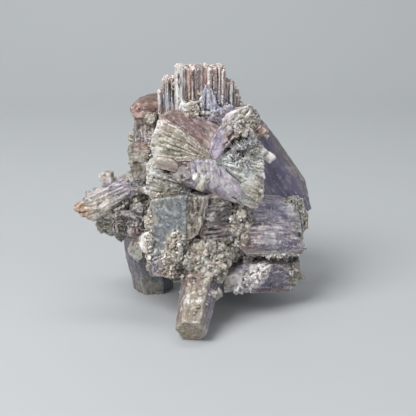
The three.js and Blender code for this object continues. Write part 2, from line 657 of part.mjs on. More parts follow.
function crownPieces() {
  const random = randomFrom(101);
  const front = CROWN_RIBS.map(([left, top, near], rib) => {
    const right = rib + 1 < CROWN_RIBS.length ? CROWN_RIBS[rib + 1][0] : CROWN_RIGHT;
    return crownColumn(left, right, top, near, CROWN_FRONT_DEPTH, random);
  });
  return [...front, ...CROWN_BACK.map((column) => crownColumn(...column, random))];
}

function heart({ at, half }) {
  return new THREE.IcosahedronGeometry(1, 1).scale(...half).translate(...at);
}

const anyWay = (random) =>
  new THREE.Vector3(between(random, -1, 1), between(random, -1, 1), between(random, -1, 1));

// A small crystal with its middle at the given point, six-sided or, in a crust, four-sided.
function smallCrystal(at, along, long, wide, random, sides = 6) {
  const axis = along.clone().normalize();
  const root = at.clone().addScaledVector(axis, -long / 2);
  const tip = at.clone().addScaledVector(axis, long / 2);
  const face = anyWay(random);
  const thick = wide * between(random, 0.75, 0.95);
  const six = new THREE.Shape(hexagon(wide, thick));
  const section = sides === 6 ? six : rectangle(0.85 * wide, 0.85 * thick);
  return prism(section, root, tip, face, 1, [between(random, -0.3, 0.3), between(random, -0.3, 0.3)]);
}

function knobPieces() {
  const random = randomFrom(202);
  return KNOBS.map(({ at, along, long, wide }) =>
    smallCrystal(vector(at), vector(along), long, wide, random),
  );
}

// Small crystals seeded over a patch of the stone's surface, leaning out of it.
function crustPieces(patch, stone) {
  const random = randomFrom(patch.seed);
  const inward = vector(patch.inward).normalize();
  const sideways = new THREE.Vector3().crossVectors(new THREE.Vector3(0, 0, 1), inward).normalize();
  const up = new THREE.Vector3().crossVectors(inward, sideways);
  const seeds = [];
  for (let i = 0; i < patch.count; i++) {
    const angle = 2 * Math.PI * random();
    const reach = Math.sqrt(random());
    const start = vector(patch.over)
      .addScaledVector(sideways, patch.spread[0] * reach * Math.cos(angle))
      .addScaledVector(up, patch.spread[1] * reach * Math.sin(angle));
    const hit = new THREE.Raycaster(start, inward).intersectObject(stone)[0];
    const wide = between(random, ...patch.size);
    const jitter = anyWay(random);
    if (!hit) continue;
    const along = hit.face.normal.clone().addScaledVector(jitter, 0.7);
    seeds.push(smallCrystal(hit.point, along, wide * between(random, 1, 1.6), wide, random, 4));
  }
  return seeds;
}

// ---- the stone ----

const join = (solid, pieces) => pieces.reduce((whole, piece) => whole.add(solidOf(piece)), solid);

// The pieces enclose small hollows. Only the outer surface is the stone's.
const outerOf = (solid) => solid.decompose().sort((a, b) => b.volume() - a.volume())[0];

function stone() {
  const [first, ...others] = HEARTS.map(heart);
  let solid = join(solidOf(first), others);
  solid = join(solid, CRYSTALS.flatMap(crystalPieces));
  solid = join(solid, BLOCKS.map(blockOf));
  solid = join(solid, RIDGES.map(ridgeOf));
  solid = join(solid, crownPieces());
  solid = join(solid, knobPieces());
  const bare = new THREE.Mesh(geometryOf(outerOf(solid)), STONE);
  solid = join(solid, CRUSTS.flatMap((patch) => crustPieces(patch, bare)));
  const ground = new THREE.BoxGeometry(2 * GROUND_CUT, 2 * GROUND_CUT, GROUND_CUT);
  ground.translate(0, 0, -GROUND_CUT / 2);
  return outerOf(solid.subtract(solidOf(ground)));
}

const cluster = new THREE.Group();
const mesh = new THREE.Mesh(geometryOf(stone()), STONE);
mesh.name = "aragonite_cluster";
cluster.add(mesh);

export default cluster;
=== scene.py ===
"""An aragonite cluster: ribbed crystals bundled from laths, a frosted crust and a plain pale studio."""

import itertools
import math
import random

import bmesh
import bpy
import numpy as np
from mathutils import Matrix, Vector
from mathutils.bvhtree import BVHTree


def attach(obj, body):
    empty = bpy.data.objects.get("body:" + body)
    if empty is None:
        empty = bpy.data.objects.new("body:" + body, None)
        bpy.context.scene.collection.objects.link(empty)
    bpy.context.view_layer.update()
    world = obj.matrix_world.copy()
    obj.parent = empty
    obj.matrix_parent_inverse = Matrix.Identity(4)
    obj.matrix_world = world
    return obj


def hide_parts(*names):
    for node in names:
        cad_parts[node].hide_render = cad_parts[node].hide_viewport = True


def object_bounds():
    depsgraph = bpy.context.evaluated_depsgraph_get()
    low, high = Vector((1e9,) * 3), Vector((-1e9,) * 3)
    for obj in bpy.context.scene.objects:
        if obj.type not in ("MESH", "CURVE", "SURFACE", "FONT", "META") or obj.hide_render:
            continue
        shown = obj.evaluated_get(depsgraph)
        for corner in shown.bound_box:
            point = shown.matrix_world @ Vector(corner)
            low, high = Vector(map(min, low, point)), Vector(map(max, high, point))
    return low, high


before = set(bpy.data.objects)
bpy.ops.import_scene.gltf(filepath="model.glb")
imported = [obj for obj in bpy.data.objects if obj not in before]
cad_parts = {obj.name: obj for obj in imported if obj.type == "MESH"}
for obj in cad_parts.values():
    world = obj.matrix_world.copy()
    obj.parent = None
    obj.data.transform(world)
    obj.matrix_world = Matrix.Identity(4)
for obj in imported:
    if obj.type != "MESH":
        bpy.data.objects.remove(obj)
CAD_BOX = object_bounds()

NODE = "aragonite_cluster"
MM = 0.001  # the stone's dimensions below are in millimetres, and the scene is in metres


# ---- colours ----

def shade(code):
    """A daylight colour written as six hex digits, as the shaders take it."""
    parts = [int(code[i:i + 2], 16) / 255 for i in (0, 2, 4)]
    return tuple(((p + 0.055) / 1.055) ** 2.4 if p > 0.04 else p / 12.92 for p in parts)


MAROON = shade("8a6e6b")
ROSE = shade("bb9488")
RUST = shade("9c7062")
ORANGE = shade("b98a68")
TAN = shade("a89a88")
HONEY = shade("a8997f")
CREAM = shade("beb3a1")
OLIVE = shade("a49b80")
# white: the stone's frost and white crust, and also the painted highlights and glints
FROST = shade("f6f3ef")
PINK = shade("bfa39a")
LILAC = shade("948b9b")
ORCHID = shade("beb0c2")
VIOLET = shade("6b6481")
PLUM = shade("7d6a7c")
PERIWINKLE = shade("9a9fb5")
GREY_GREEN = shade("a2aaa6")
GREY_BLUE = shade("8a9094")
BROWN_GREY = shade("7c7470")
# a dark navy, used as painted shade in crevices, recesses and under overhangs
NAVY_SHADE = shade("454750")
UMBER = shade("52433d")
# a dark green, used as painted shade in the pit beside the ear
PIT_SHADE = shade("4c5a57")
SHADE = (0.16, 0.13, 0.12)  # what a colour is multiplied by in the hollows


# ---- the crystals ----

# What a block or crystal has where its row says nothing else. broken is the share of laths that are broken short,
# and fade is how far along the crystal its root's colour reaches.
USUAL = dict(face=(0, -1, 0), narrow=0.9, fan=False, even=1, step=0.12, pitch=1.4, worn=0.9, crusted=0.25, light=1,
             fade=0.4, broken=0.16)

# Blocks, by the piece that they belong to. Each is the hull of its corners and of the same corners moved by back and
# drawn together by narrow. The grain runs from root to tip, or spreads out from root where fan is true. face is the
# way that the broad side faces. step is the height of its ledges and pitch their width. worn is how far its edges
# are worn, and crusted how broken up its surface is. light multiplies its colours, partly for its own lightness and
# partly as painted light: lighter where it lies in shade, darker where the lamp falls on it brightly. streaky,
# glassy and frost_and_glint are how streaked it is, how smooth and shiny, and how white on its edges and how strong
# its painted glints and white flecks are. even squeezes the patterns along the grain, for a side without streaks.
# hues are the colours from the lower or left side to the other side. near_root and near_tip blend over them.

WAIST = (5, -13.5, 46.4)
BLOCKS = {
    "bow": [
        # the maroon sheaf
        dict(root=WAIST, tip=(-7.7, -10, 58.1), face=(0, -1, 0.7), back=(0, 11, -3), narrow=0.85,
             corners=[(-9.5, -12.6, 56.7), (-9.5, -11.4, 57.8), (-5.6, -8, 59.1), (-0.9, -7.4, 58.4),
                      (1.6, -8, 56.8), (6.8, -8.6, 54.4), (5.2, -13, 48.7), (1.6, -14, 49.8), (-4.1, -13.8, 54.2)],
             step=0.05, pitch=2.2, worn=0.8, crusted=0.12, light=0.82, streaky=0.25, glassy=0.45, frost_and_glint=0.15,
             hues=(MAROON,), near_root=PINK, near_tip=PINK),
        # the cream fan
        dict(fan=True, root=WAIST, tip=(-11.3, -15, 51.4), back=(0, 12, 0), narrow=0.85,
             corners=[(-9.5, -12.8, 56.9), (-11.6, -14.8, 52.5), (-12, -15.2, 49.5), (-10.6, -15.2, 46.4),
                      (-5.7, -15.2, 44.8), (-0.6, -15.2, 44.2), (4.6, -15, 45.5), (5.2, -14.4, 47.5),
                      (1.6, -15, 50.3), (-4, -14.6, 54.8), (-7.5, -13.8, 56.6)],
             step=0.36, pitch=2.6, worn=1.1, crusted=0.15, streaky=0.45, glassy=0.55, frost_and_glint=0.7,
             hues=(PINK, CREAM, OLIVE, OLIVE, HONEY, TAN), near_root=OLIVE, near_tip=CREAM),
        # the pink lens in front of the fan
        dict(root=(-4.9, -15, 44.1), tip=(-10.6, -15, 46.1), back=(0, 7, 0),
             corners=[(-10.7, -15.6, 46.5), (-9.7, -16, 47.3), (-5.7, -16.4, 46.7), (-4.3, -16.2, 45),
                      (-5.2, -15.2, 42.8), (-10.1, -15.2, 44.2)],
             step=0.12, pitch=1, worn=0.7, crusted=0.15, light=0.95, streaky=0.3, glassy=0.3, frost_and_glint=0.5,
             hues=(PINK, CREAM, PINK), near_root=PINK, near_tip=CREAM),
        # the brown wedge under the fan
        dict(root=(0.5, -15, 40.7), tip=(-5.5, -15, 44.1), back=(0, 7, 0),
             corners=[(-6.3, -15.4, 45.4), (-3.3, -15.8, 46), (0.5, -16, 45.8), (1.6, -15.8, 41.5),
                      (0.5, -14.8, 37.8), (-6.1, -14.4, 41.2)],
             step=0.12, pitch=1.2, worn=1, crusted=0.4, light=0.95, streaky=0.25, glassy=0.4, frost_and_glint=0.35,
             hues=(BROWN_GREY, MAROON, PINK), near_root=LILAC, near_tip=MAROON),
        # the lilac band, where it is upright
        dict(root=(3.3, -15, 38.5), tip=(2.2, -15, 45.8), back=(0, 8, 0),
             corners=[(-1.1, -16, 45.8), (2.2, -16.4, 46.5), (5.7, -16, 46.1), (7.1, -16.2, 43.3), (6.3, -15.8, 39),
                      (1.9, -15.4, 38), (-0.8, -15.8, 41.5)],
             step=0.22, pitch=0.9, worn=0.7, crusted=0.12, light=0.94, streaky=0.4, glassy=1, frost_and_glint=0.4,
             hues=(ORCHID, LILAC, ORCHID, LILAC), near_root=ORCHID, near_tip=ORCHID),
        # the lilac band, where it runs down to the right
        dict(root=(5.4, -15, 43), tip=(12.6, -14.4, 34.3), back=(0, 8, 0),
             corners=[(5.4, -15.4, 44.8), (7.6, -15.8, 44.1), (9.8, -16, 40.7), (12.6, -15.6, 37.2),
                      (17.7, -13.8, 33.5), (16.6, -13.6, 32.3), (12.1, -14.2, 33.7), (1.6, -14.2, 37.1),
                      (2.2, -15.4, 40.3)],
             step=0.14, pitch=1.2, worn=0.7, crusted=0.15, light=0.94, streaky=0.3, glassy=1, frost_and_glint=0.35,
             hues=(VIOLET, MAROON, ORCHID, ORCHID, ORCHID), near_root=ORCHID, near_tip=CREAM),
        # the pale green fan
        dict(fan=True, root=WAIST, tip=(17.6, -13, 37.3), face=(0, -1, 0.1), back=(0, 11, 0), narrow=0.85,
             corners=[(5.2, -14, 47), (9.3, -11.6, 47.8), (13.8, -9.6, 47.9), (18.8, -8.4, 46.7),
                      (14.2, -13.6, 45.2), (19.3, -11.8, 43.9), (19.5, -12.6, 40.7), (19, -13.4, 36.9),
                      (17.4, -13.2, 32.8), (11.5, -14.8, 35), (4.9, -14.6, 38.9), (5.2, -15, 44.1)],
             step=0.34, pitch=2.2, worn=0.9, crusted=0.15, light=1.05, streaky=0.75, glassy=0.5, frost_and_glint=1,
             hues=(LILAC, GREY_GREEN, GREY_GREEN, GREY_GREEN), near_root=GREY_GREEN, near_tip=CREAM),
        # the creamy corner of the green fan
        dict(root=(12.1, -14, 38.2), tip=(19.3, -13, 35.6), back=(0, 8, 0),
             corners=[(12.6, -14.4, 39.4), (16.4, -14, 40.8), (19.4, -12.8, 39.3), (19.3, -13, 35.6),
                      (17.7, -13.4, 32.2), (15.4, -14.6, 32.6), (12.6, -15.4, 34.6), (11.5, -15.4, 37.6)],
             step=0.2, pitch=2, worn=1, crusted=0.15, light=1.1, streaky=0.3, glassy=0.5, frost_and_glint=0.6,
             hues=(ORCHID, CREAM, OLIVE, CREAM), near_root=GREY_GREEN, near_tip=CREAM),
        # the lilac dagger between the sheaves
        dict(root=WAIST, tip=(9.6, -9.8, 54.7), face=(0, -1, 0.4), back=(0, 8, -1),
             corners=[(4.1, -14.8, 46.9), (6.3, -14.6, 46.6), (9.5, -12.2, 49.9), (11.5, -10, 53.6),
                      (8.2, -9.4, 55.5), (4.9, -12.8, 52)],
             step=0.12, pitch=1, worn=0.8, crusted=0.2, streaky=0.35, glassy=0.6, frost_and_glint=0.3,
             hues=(LILAC, ORCHID, ORCHID, MAROON), near_root=ORCHID, near_tip=ORCHID),
        # the crusted ear
        dict(root=(5.4, -12, 47.9), tip=(17, -7, 59.7), face=(0, -1, 0.4), back=(0, 8, -1),
             corners=[(7.6, -9.4, 56.3), (9.8, -9.2, 58.5), (13.1, -8.8, 59.5), (15.6, -8, 60.3),
                      (17.9, -6.6, 57.7), (18.8, -7, 53.5), (15.4, -9.4, 52.6), (12, -11, 51.3), (9.3, -11.8, 50.9),
                      (7.6, -10.8, 53.8)],
             step=0.4, pitch=1.3, worn=0.7, crusted=0.4, streaky=0.5, glassy=0.2, frost_and_glint=0.6,
             hues=(BROWN_GREY, TAN, CREAM, ORCHID), near_root=BROWN_GREY, near_tip=CREAM),
        # the olive sheaf below, which is dark underneath, with painted shade at its root end
        dict(root=(-0.6, -12, 37.1), tip=(-13.4, -12, 40.5), face=(0, -1, 0.1), back=(0, 9, 0),
             corners=[(-12.9, -11.8, 44.7), (-11.3, -13.4, 44.9), (-6.1, -13.6, 42.1), (-0.6, -13.6, 38.4),
                      (-0.9, -13, 35.9), (-2.9, -12.8, 35), (-12.3, -13, 34.5), (-13.7, -12.6, 36.4),
                      (-13.3, -12, 41.1)],
             step=0.24, pitch=1.8, worn=0.9, crusted=0.3, light=0.9, streaky=0.45, glassy=0.3, frost_and_glint=0.9,
             hues=(TAN, OLIVE, OLIVE, BROWN_GREY, OLIVE), near_root=NAVY_SHADE, near_tip=FROST),
    ],
    "blade": [
        # the violet blade
        dict(root=(15.7, 0, 55.5), tip=(33.3, 0, 28.8), face=(0.15, -1, 0.1), back=(-4, 11, -1), narrow=0.8,
             corners=[(13.7, 0, 55.8), (19.3, 3, 54), (23.1, 2.2, 49.5), (26.4, 1.5, 44.6), (32.3, 0.5, 36.5),
                      (34.2, 0, 27.9), (30.7, -1, 25.1), (19.4, -4, 29.7), (12.9, -4, 46.6)],
             step=0.07, pitch=1.6, worn=0.25, crusted=0.05, streaky=0.18, glassy=0.9, frost_and_glint=0.06,
             hues=(VIOLET, VIOLET, VIOLET, VIOLET, BROWN_GREY), near_root=VIOLET, near_tip=VIOLET),
    ],
    "face": [
        # the grey slab
        dict(root=(-7.5, -16, 11.9), tip=(-7.2, -16, 36.5), face=(0.3, -1, 0), back=(5, 12, 0),
             corners=[(-12.2, -14, 35), (-2.2, -17.4, 36.9), (-2.5, -18, 24.4), (-5.7, -18.4, 13.4),
                      (-12.5, -16.6, 13), (-13.9, -14.6, 19.7), (-13.8, -14, 27.5)],
             step=0.03, pitch=4, worn=0.6, crusted=0.15, light=0.72, streaky=0.03, glassy=0, frost_and_glint=0.3, even=2.6,
             hues=(GREY_BLUE,), near_root=BROWN_GREY, near_tip=GREY_BLUE),
        # the brown block beside the slab
        dict(root=(0.2, -16, 23.2), tip=(0.2, -16, 36.8), back=(0, 8, 0),
             corners=[(-2.8, -16.4, 36.3), (4.4, -16, 36.7), (1.2, -17.2, 25.4), (-2, -17.8, 23.8)],
             step=0.12, pitch=1.6, worn=2, crusted=0.2, light=0.8, streaky=0.4, glassy=0, frost_and_glint=0.4,
             hues=(TAN, TAN, BROWN_GREY), near_root=TAN, near_tip=BROWN_GREY),
        # the ribbed lump
        dict(root=(-0.7, -14, 28.9), tip=(11.6, -12.6, 29.1), back=(0, 10, 0),
             corners=[(-1.2, -14.4, 35.7), (5.7, -15, 37), (10.5, -13, 34.5), (11.3, -13, 28), (9.7, -13.6, 22),
                      (1.8, -15.6, 21.6), (5.4, -17, 30.5)],
             step=0.28, pitch=1.1, worn=1, crusted=0.25, light=0.72, streaky=0.4, glassy=0.4, frost_and_glint=0.2,
             hues=(BROWN_GREY, MAROON, BROWN_GREY, BROWN_GREY, TAN), near_root=BROWN_GREY, near_tip=BROWN_GREY),
        # the crusted ledge at the slab's foot
        dict(root=(-9.1, -17.6, 12.5), tip=(-9, -17.6, 19.9), back=(2, 9, 0), narrow=0.85,
             corners=[(-12.4, -17, 18.5), (-9.5, -18, 20), (-6.4, -18.6, 19.4), (-5.6, -18.8, 15.3),
                      (-7.3, -18.8, 13.5), (-11.6, -17.4, 13.6)],
             step=0.1, pitch=1.4, worn=1.8, crusted=0.55, light=0.85, streaky=0.2, glassy=0.1, frost_and_glint=0.4,
             hues=(LILAC, BROWN_GREY, TAN), near_root=MAROON, near_tip=BROWN_GREY),
        # the crust that climbs the slab
        dict(root=(-5.4, -18, 17.4), tip=(-5.3, -18, 26.8), back=(0, 5, 0),
             corners=[(-7.2, -18, 25.6), (-5, -18.6, 27), (-3.1, -18.8, 24.7), (-3.1, -19, 20.1), (-5, -19.2, 17.8),
                      (-7.3, -18.8, 19.5), (-7.8, -18.4, 22.8)],
             step=0.2, pitch=1, worn=1, crusted=1, streaky=0.1, glassy=0.3, frost_and_glint=0.8,
             hues=(CREAM, TAN, GREY_GREEN), near_root=TAN, near_tip=FROST),
        # the lump over the foot
        dict(root=(9.4, -18, 14.4), tip=(1.6, -20, 15.8), face=(0, -1, 0.2), back=(0, 9, 0),
             corners=[(1.6, -20, 17.5), (3.3, -20.4, 19.2), (7.7, -19.4, 18.2), (9.4, -18.6, 15.2),
                      (8.3, -18.4, 12.2), (3.8, -19.6, 12.1), (1.9, -20.2, 14.7)],
             step=0.12, pitch=1.2, worn=1, crusted=0.35, streaky=0.2, glassy=0.2, frost_and_glint=0.5,
             hues=(LILAC, BROWN_GREY, TAN), near_root=TAN, near_tip=BROWN_GREY),
    ],
    "right": [
        # the shoulder, lightened as painted light where it lies in the bow's shadow
        dict(root=(13.8, -8, 26.4), tip=(31.6, -4, 25.2), face=(0, -1, 0.4), back=(0, 10, 2),
             corners=[(13.7, -9, 32.4), (19.1, -7, 33), (24.3, -6, 32.1), (27.6, -5, 30.6), (30.4, -4, 27.3),
                      (31, -5, 22.1), (15.7, -10, 24.1)],
             step=0.08, pitch=1.8, worn=0.7, crusted=0.12, light=1.5, streaky=0.6, glassy=0.4, frost_and_glint=0.5,
             hues=(ORCHID, LILAC, VIOLET, LILAC), near_root=LILAC, near_tip=GREY_GREEN),
        # the shoulder's crusted end
        dict(root=(29.4, -4, 19), tip=(29.5, -3, 32.7), face=(0.3, -1, 0), back=(-1, 8, 0),
             corners=[(25.9, -4.6, 31.7), (28.5, -4, 33), (31.3, -2.4, 31.9), (33.3, -1.4, 26.8),
                      (32.4, -2.4, 22.8), (31.2, -3.4, 19.1), (27.5, -5.6, 21.4)],
             step=0.3, pitch=1, worn=1.3, crusted=0.7, streaky=0.2, glassy=0.2, frost_and_glint=0.6,
             hues=(OLIVE, GREY_GREEN, TAN), near_root=TAN, near_tip=GREY_GREEN),
        # the crystal that ends in a point
        dict(root=(11.7, -12, 21.5), tip=(32.3, -8, 18.9), face=(0, -1, 0.3), back=(0, 9, 0),
             corners=[(13.4, -12.4, 25.2), (15.3, -12, 26.1), (20.8, -10.6, 26.1), (25.7, -9.4, 25.4),
                      (30.2, -8.2, 21.4), (32.3, -7.4, 18.1), (30.3, -8.2, 16.2), (24.4, -10.6, 16.5),
                      (14.5, -13, 18), (12.8, -13.6, 20.3), (12.4, -13.2, 22.8), (17.3, -14.2, 22),
                      (24.1, -12, 21.5)],
             step=0.1, pitch=1.6, worn=0.7, crusted=0.15, light=0.92, streaky=0.5, glassy=0.6, frost_and_glint=0.4,
             hues=(CREAM, LILAC, VIOLET, LILAC, ORCHID), near_root=MAROON, near_tip=OLIVE),
        # the dark ledge below it, with a band of painted shade under the pointed crystal
        dict(root=(21.8, -8, 10.9), tip=(21.7, -8, 17.1), back=(0, 8, 0),
             corners=[(13.8, -10, 16.9), (30.5, -6, 16.4), (30.6, -6.4, 10.6), (13, -10.4, 12.4)],
             step=0.35, pitch=0.9, worn=1, crusted=0.35, light=0.7, streaky=0.4, glassy=0.1, frost_and_glint=0.4,
             hues=(BROWN_GREY, NAVY_SHADE, BROWN_GREY), near_root=BROWN_GREY, near_tip=OLIVE),
        # the lowest crystal
        dict(root=(8.9, -13, 10.7), tip=(30, -7, 9), face=(0, -0.9, 0.3), back=(0, 12, 2),
             corners=[(9.5, -13.4, 13), (14.6, -13, 14.3), (19.2, -12, 15.2), (29.3, -7.4, 13.2), (30, -7.6, 7.3),
                      (28.3, -8.4, 5.2), (12.9, -13.4, 6.6), (8.9, -14.4, 8.8)],
             step=0.12, pitch=1.6, worn=1, crusted=0.25, light=0.78, streaky=0.3, glassy=0.4, frost_and_glint=0.4,
             hues=(MAROON, VIOLET, LILAC, VIOLET, BROWN_GREY), near_root=ORCHID, near_tip=BROWN_GREY),
        # the white crest on it, lightened as painted light where it faces away from the lamp
        dict(root=(11.8, -14, 7.4), tip=(20.8, -12.6, 14.8), face=(0, -1, 0.2), back=(0, 6, -1), narrow=1,
             corners=[(11.8, -13.8, 7), (13.7, -13.8, 11), (15.7, -14.2, 10.2), (17.7, -13.2, 13.2),
                      (19.4, -13.2, 12.3), (20.9, -11.6, 15), (21.5, -11.8, 13.3), (19.5, -13, 9.5),
                      (15.2, -14, 7.1)],
             step=0.3, pitch=0.9, worn=0.9, crusted=0.9, light=1.9, streaky=0.3, glassy=0.9, frost_and_glint=1,
             hues=(ORCHID, FROST, FROST), near_root=FROST, near_tip=FROST),
        # the pale lump left of the crest
        dict(root=(9.5, -14, 9.9), tip=(13.7, -14, 10.5), face=(0, -1, 0.2), back=(0, 5, 0),
             corners=[(8, -15, 12.1), (11.1, -15.2, 13.4), (13.4, -15, 12.4), (13.9, -14.8, 9.3),
                      (12.6, -14.4, 6.8), (8.2, -14.6, 7.2)],
             step=0.12, pitch=1, worn=1, crusted=0.4, streaky=0.2, glassy=0.6, frost_and_glint=0.8,
             hues=(ORCHID, FROST, FROST), near_root=FROST, near_tip=ORCHID),
        # the lowest crystal's brown end
        dict(root=(24.7, -8, 8.8), tip=(30.4, -6.6, 8.8), face=(0, -1, 0.2), back=(0, 6, 0),
             corners=[(24.6, -8.6, 12.1), (27.6, -7.6, 12.9), (29.7, -7, 11.5), (30, -7.4, 7.6), (27.7, -8.6, 5.6),
                      (25, -9.2, 7.4)],
             step=0.3, pitch=1, worn=1, crusted=0.6, light=0.9, streaky=0.2, glassy=0.1, frost_and_glint=0.4,
             hues=(BROWN_GREY, OLIVE, BROWN_GREY), near_root=BROWN_GREY, near_tip=TAN),
    ],
    "crown": [
        # the smooth bluish face
        dict(root=(4.1, -5, 55.4), tip=(3.8, -4, 63.9), back=(0, 4, 0), narrow=1,
             corners=[(2.2, -3.8, 61.3), (3.4, -3.2, 65), (4.2, -3.2, 65), (6, -3.8, 61.5), (8, -5.4, 56.1),
                      (1, -6.2, 56), (0.7, -5, 59.5)],
             step=0.3, pitch=0.8, worn=0.8, crusted=0.2, light=1.1, streaky=0.45, glassy=0.4, frost_and_glint=0.6,
             hues=(PERIWINKLE, LILAC, PERIWINKLE), near_root=PERIWINKLE, near_tip=LILAC),
        # the pale lump at its foot
        dict(root=(-0.6, -6.4, 56.2), tip=(-0.6, -5.6, 60.9), face=(0, -1, 0.3), back=(0, 5, 0),
             corners=[(-2.9, -6, 59.3), (-1.2, -5.6, 60.9), (1, -6, 60.4), (1.9, -7, 58.6), (1.3, -7.8, 56.8),
                      (-2, -7.6, 57)],
             step=0.12, pitch=1, worn=1.2, crusted=0.9, streaky=0.2, glassy=0.2, frost_and_glint=0.6,
             hues=(TAN, CREAM, TAN), near_root=TAN, near_tip=CREAM),
        # the small grey one beside it
        dict(root=(-3.1, -6.6, 57.7), tip=(-3.4, -5.6, 60.6), face=(0, -1, 0.3), back=(0, 5, 0),
             corners=[(-4.5, -6, 59), (-3.4, -5.6, 60.6), (-2, -5.8, 60.1), (-1.7, -6.8, 58.6), (-3.1, -7.2, 57.8),
                      (-4.5, -7, 58)],
             step=0.06, pitch=1, worn=0.8, crusted=0.2, light=1.1, streaky=0.1, glassy=0.5, frost_and_glint=0.8,
             hues=(GREY_BLUE, FROST), near_root=GREY_BLUE, near_tip=FROST),
    ],
    "left": [
        # the low light values in this group partly darken its colours as painted shade, where the lamp falls on this
        # side
        # the arm
        dict(root=(-18.6, -10, 37.7), tip=(-33.1, -12, 31), face=(-0.2, -1, 0.35), back=(2.4, 8, -1), narrow=0.85,
             corners=[(-20.4, -8, 40.4), (-23.6, -9.6, 39), (-27.5, -10.8, 37), (-33.9, -11.2, 32.5),
                      (-33.7, -12.4, 31.4), (-32, -12.2, 29.3), (-28.1, -13, 28.3), (-23.4, -13.6, 32.3),
                      (-19.5, -13, 34.7), (-17.6, -12.4, 37.2)],
             step=0.22, pitch=1.4, worn=1, crusted=0.3, light=0.7, streaky=0.4, glassy=0.4, frost_and_glint=0.35,
             hues=(OLIVE, TAN, CREAM, LILAC, LILAC), near_root=BROWN_GREY, near_tip=TAN),
        # the crystal under the arm
        dict(root=(-19.8, -11, 29.2), tip=(-27.2, -11, 26.2), face=(-0.2, -1, 0), back=(2.4, 8, 0), narrow=0.85,
             corners=[(-28, -11.4, 27.8), (-25.2, -13, 30.1), (-19.6, -13, 33.3), (-18.7, -12, 26.5),
                      (-20.9, -10.6, 22.5), (-24.8, -10.4, 23.6)],
             step=0.35, pitch=1.6, worn=0.9, crusted=0.4, light=0.7, streaky=0.4, glassy=0.1, frost_and_glint=0.4,
             hues=(GREY_GREEN, OLIVE, CREAM), near_root=BROWN_GREY, near_tip=GREY_GREEN),
        # the pink one under that
        dict(root=(-25.7, -9.6, 27), tip=(-27.2, -9.6, 23.1), face=(-0.2, -1, 0), back=(1.4, 4, 0),
             corners=[(-28.2, -10, 26.5), (-26.6, -11, 28), (-25, -11, 27.1), (-25.1, -10.2, 24.8),
                      (-26.6, -9.6, 23.2), (-27.7, -9.6, 24.6)],
             step=0.06, pitch=1.4, worn=0.9, crusted=0.15, light=0.85, streaky=0.2, glassy=0.2, frost_and_glint=0.3,
             hues=(PINK, TAN, PINK), near_root=PINK, near_tip=TAN),
        # the cube on the arm
        dict(root=(-24.8, -9.6, 37.8), tip=(-25.5, -9, 41.7), face=(-0.2, -1, 0.2), back=(1, 4, 0),
             corners=[(-26.9, -9.6, 41), (-25.3, -9, 41.6), (-23.6, -9.4, 41), (-23.2, -10.6, 38.7),
                      (-25.5, -10.6, 37.8), (-26.7, -10.2, 39.7)],
             step=0.06, pitch=1.4, worn=1, crusted=0.15, light=0.8, streaky=0.2, glassy=0.2, frost_and_glint=0.4,
             hues=(TAN, CREAM, CREAM), near_root=TAN, near_tip=CREAM),
        # the rusty cap
        dict(root=(-9.9, 2, 58), tip=(-18.7, 1.6, 57.2), face=(-0.2, -1, 0.6), back=(2, 12, 0), narrow=0.85,
             corners=[(-18.7, 1, 56.5), (-18.5, 2, 58.3), (-15.9, 3, 60), (-10.5, 4, 60.2), (-10.4, 0, 55.5),
                      (-13.8, -1, 55.1), (-17.5, 0, 55.1)],
             step=0.2, pitch=1.3, worn=1.1, crusted=0.1, light=0.52, streaky=0.2, glassy=0.7, frost_and_glint=0,
             hues=(RUST,), near_root=RUST, near_tip=RUST),
        # the lump below the cap
        dict(root=(-12.6, -1.6, 52.7), tip=(-12.6, -1, 56.6), face=(-0.2, -1, 0.2), back=(1, 6, 0),
             corners=[(-14.3, -1, 55.4), (-13.2, -1.4, 56.7), (-11.4, -1.6, 56.4), (-10.9, -2.6, 54.6),
                      (-12.6, -3, 53.3), (-14, -2, 53.9)],
             step=0.08, pitch=1.4, worn=1.1, crusted=0.5, light=0.72, streaky=0.2, glassy=0.2, frost_and_glint=0.4,
             hues=(TAN, CREAM, TAN), near_root=TAN, near_tip=CREAM),
        # the post
        dict(root=(-13.9, -1, 47), tip=(-13.8, 0, 56.1), back=(0.4, 9, 0),
             corners=[(-17.3, 1, 54.7), (-10.7, 0, 55.8), (-10.7, -2.6, 48), (-17.3, -1.4, 47.4)],
             step=0.12, pitch=1.6, worn=0.8, crusted=0.35, light=0.74, streaky=0.4, glassy=0.1, frost_and_glint=0.3,
             hues=(BROWN_GREY, MAROON, BROWN_GREY), near_root=VIOLET, near_tip=MAROON),
        # the upper stacked knob
        dict(root=(-12.6, -4, 46), tip=(-19.1, -4, 46.3), face=(-0.3, -1, 0.4), back=(2.4, 8, 0), narrow=0.85,
             corners=[(-19.2, -3.4, 46.1), (-18.6, -2.6, 47.7), (-16.4, -2.4, 48.5), (-13.5, -3.6, 47.9),
                      (-12.8, -5.8, 45.2), (-14.5, -7, 43.5), (-17.6, -6.4, 43.7), (-18.9, -5, 44.8)],
             step=0.1, pitch=1.2, worn=1.2, crusted=0.25, light=0.4, streaky=0.2, glassy=0.5, frost_and_glint=0.1,
             hues=(OLIVE, OLIVE, HONEY, RUST), near_root=TAN, near_tip=TAN),
        # the lower stacked knob
        dict(root=(-12.5, -7, 43.8), tip=(-17.3, -7.6, 39.3), face=(-0.3, -1, 0.4), back=(2.4, 7, 0), narrow=0.85,
             corners=[(-17.7, -6.4, 40.8), (-16.8, -5.8, 42.9), (-14.2, -6.4, 44.2), (-12.4, -7.8, 43.4),
                      (-12.7, -8.8, 40.8), (-14.7, -9.4, 38.6), (-17, -8.4, 39.2)],
             step=0.1, pitch=1.2, worn=1.2, crusted=0.25, light=0.4, streaky=0.2, glassy=0.4, frost_and_glint=0.1,
             hues=(OLIVE, TAN, HONEY), near_root=BROWN_GREY, near_tip=OLIVE),
        # the pale knob beside them
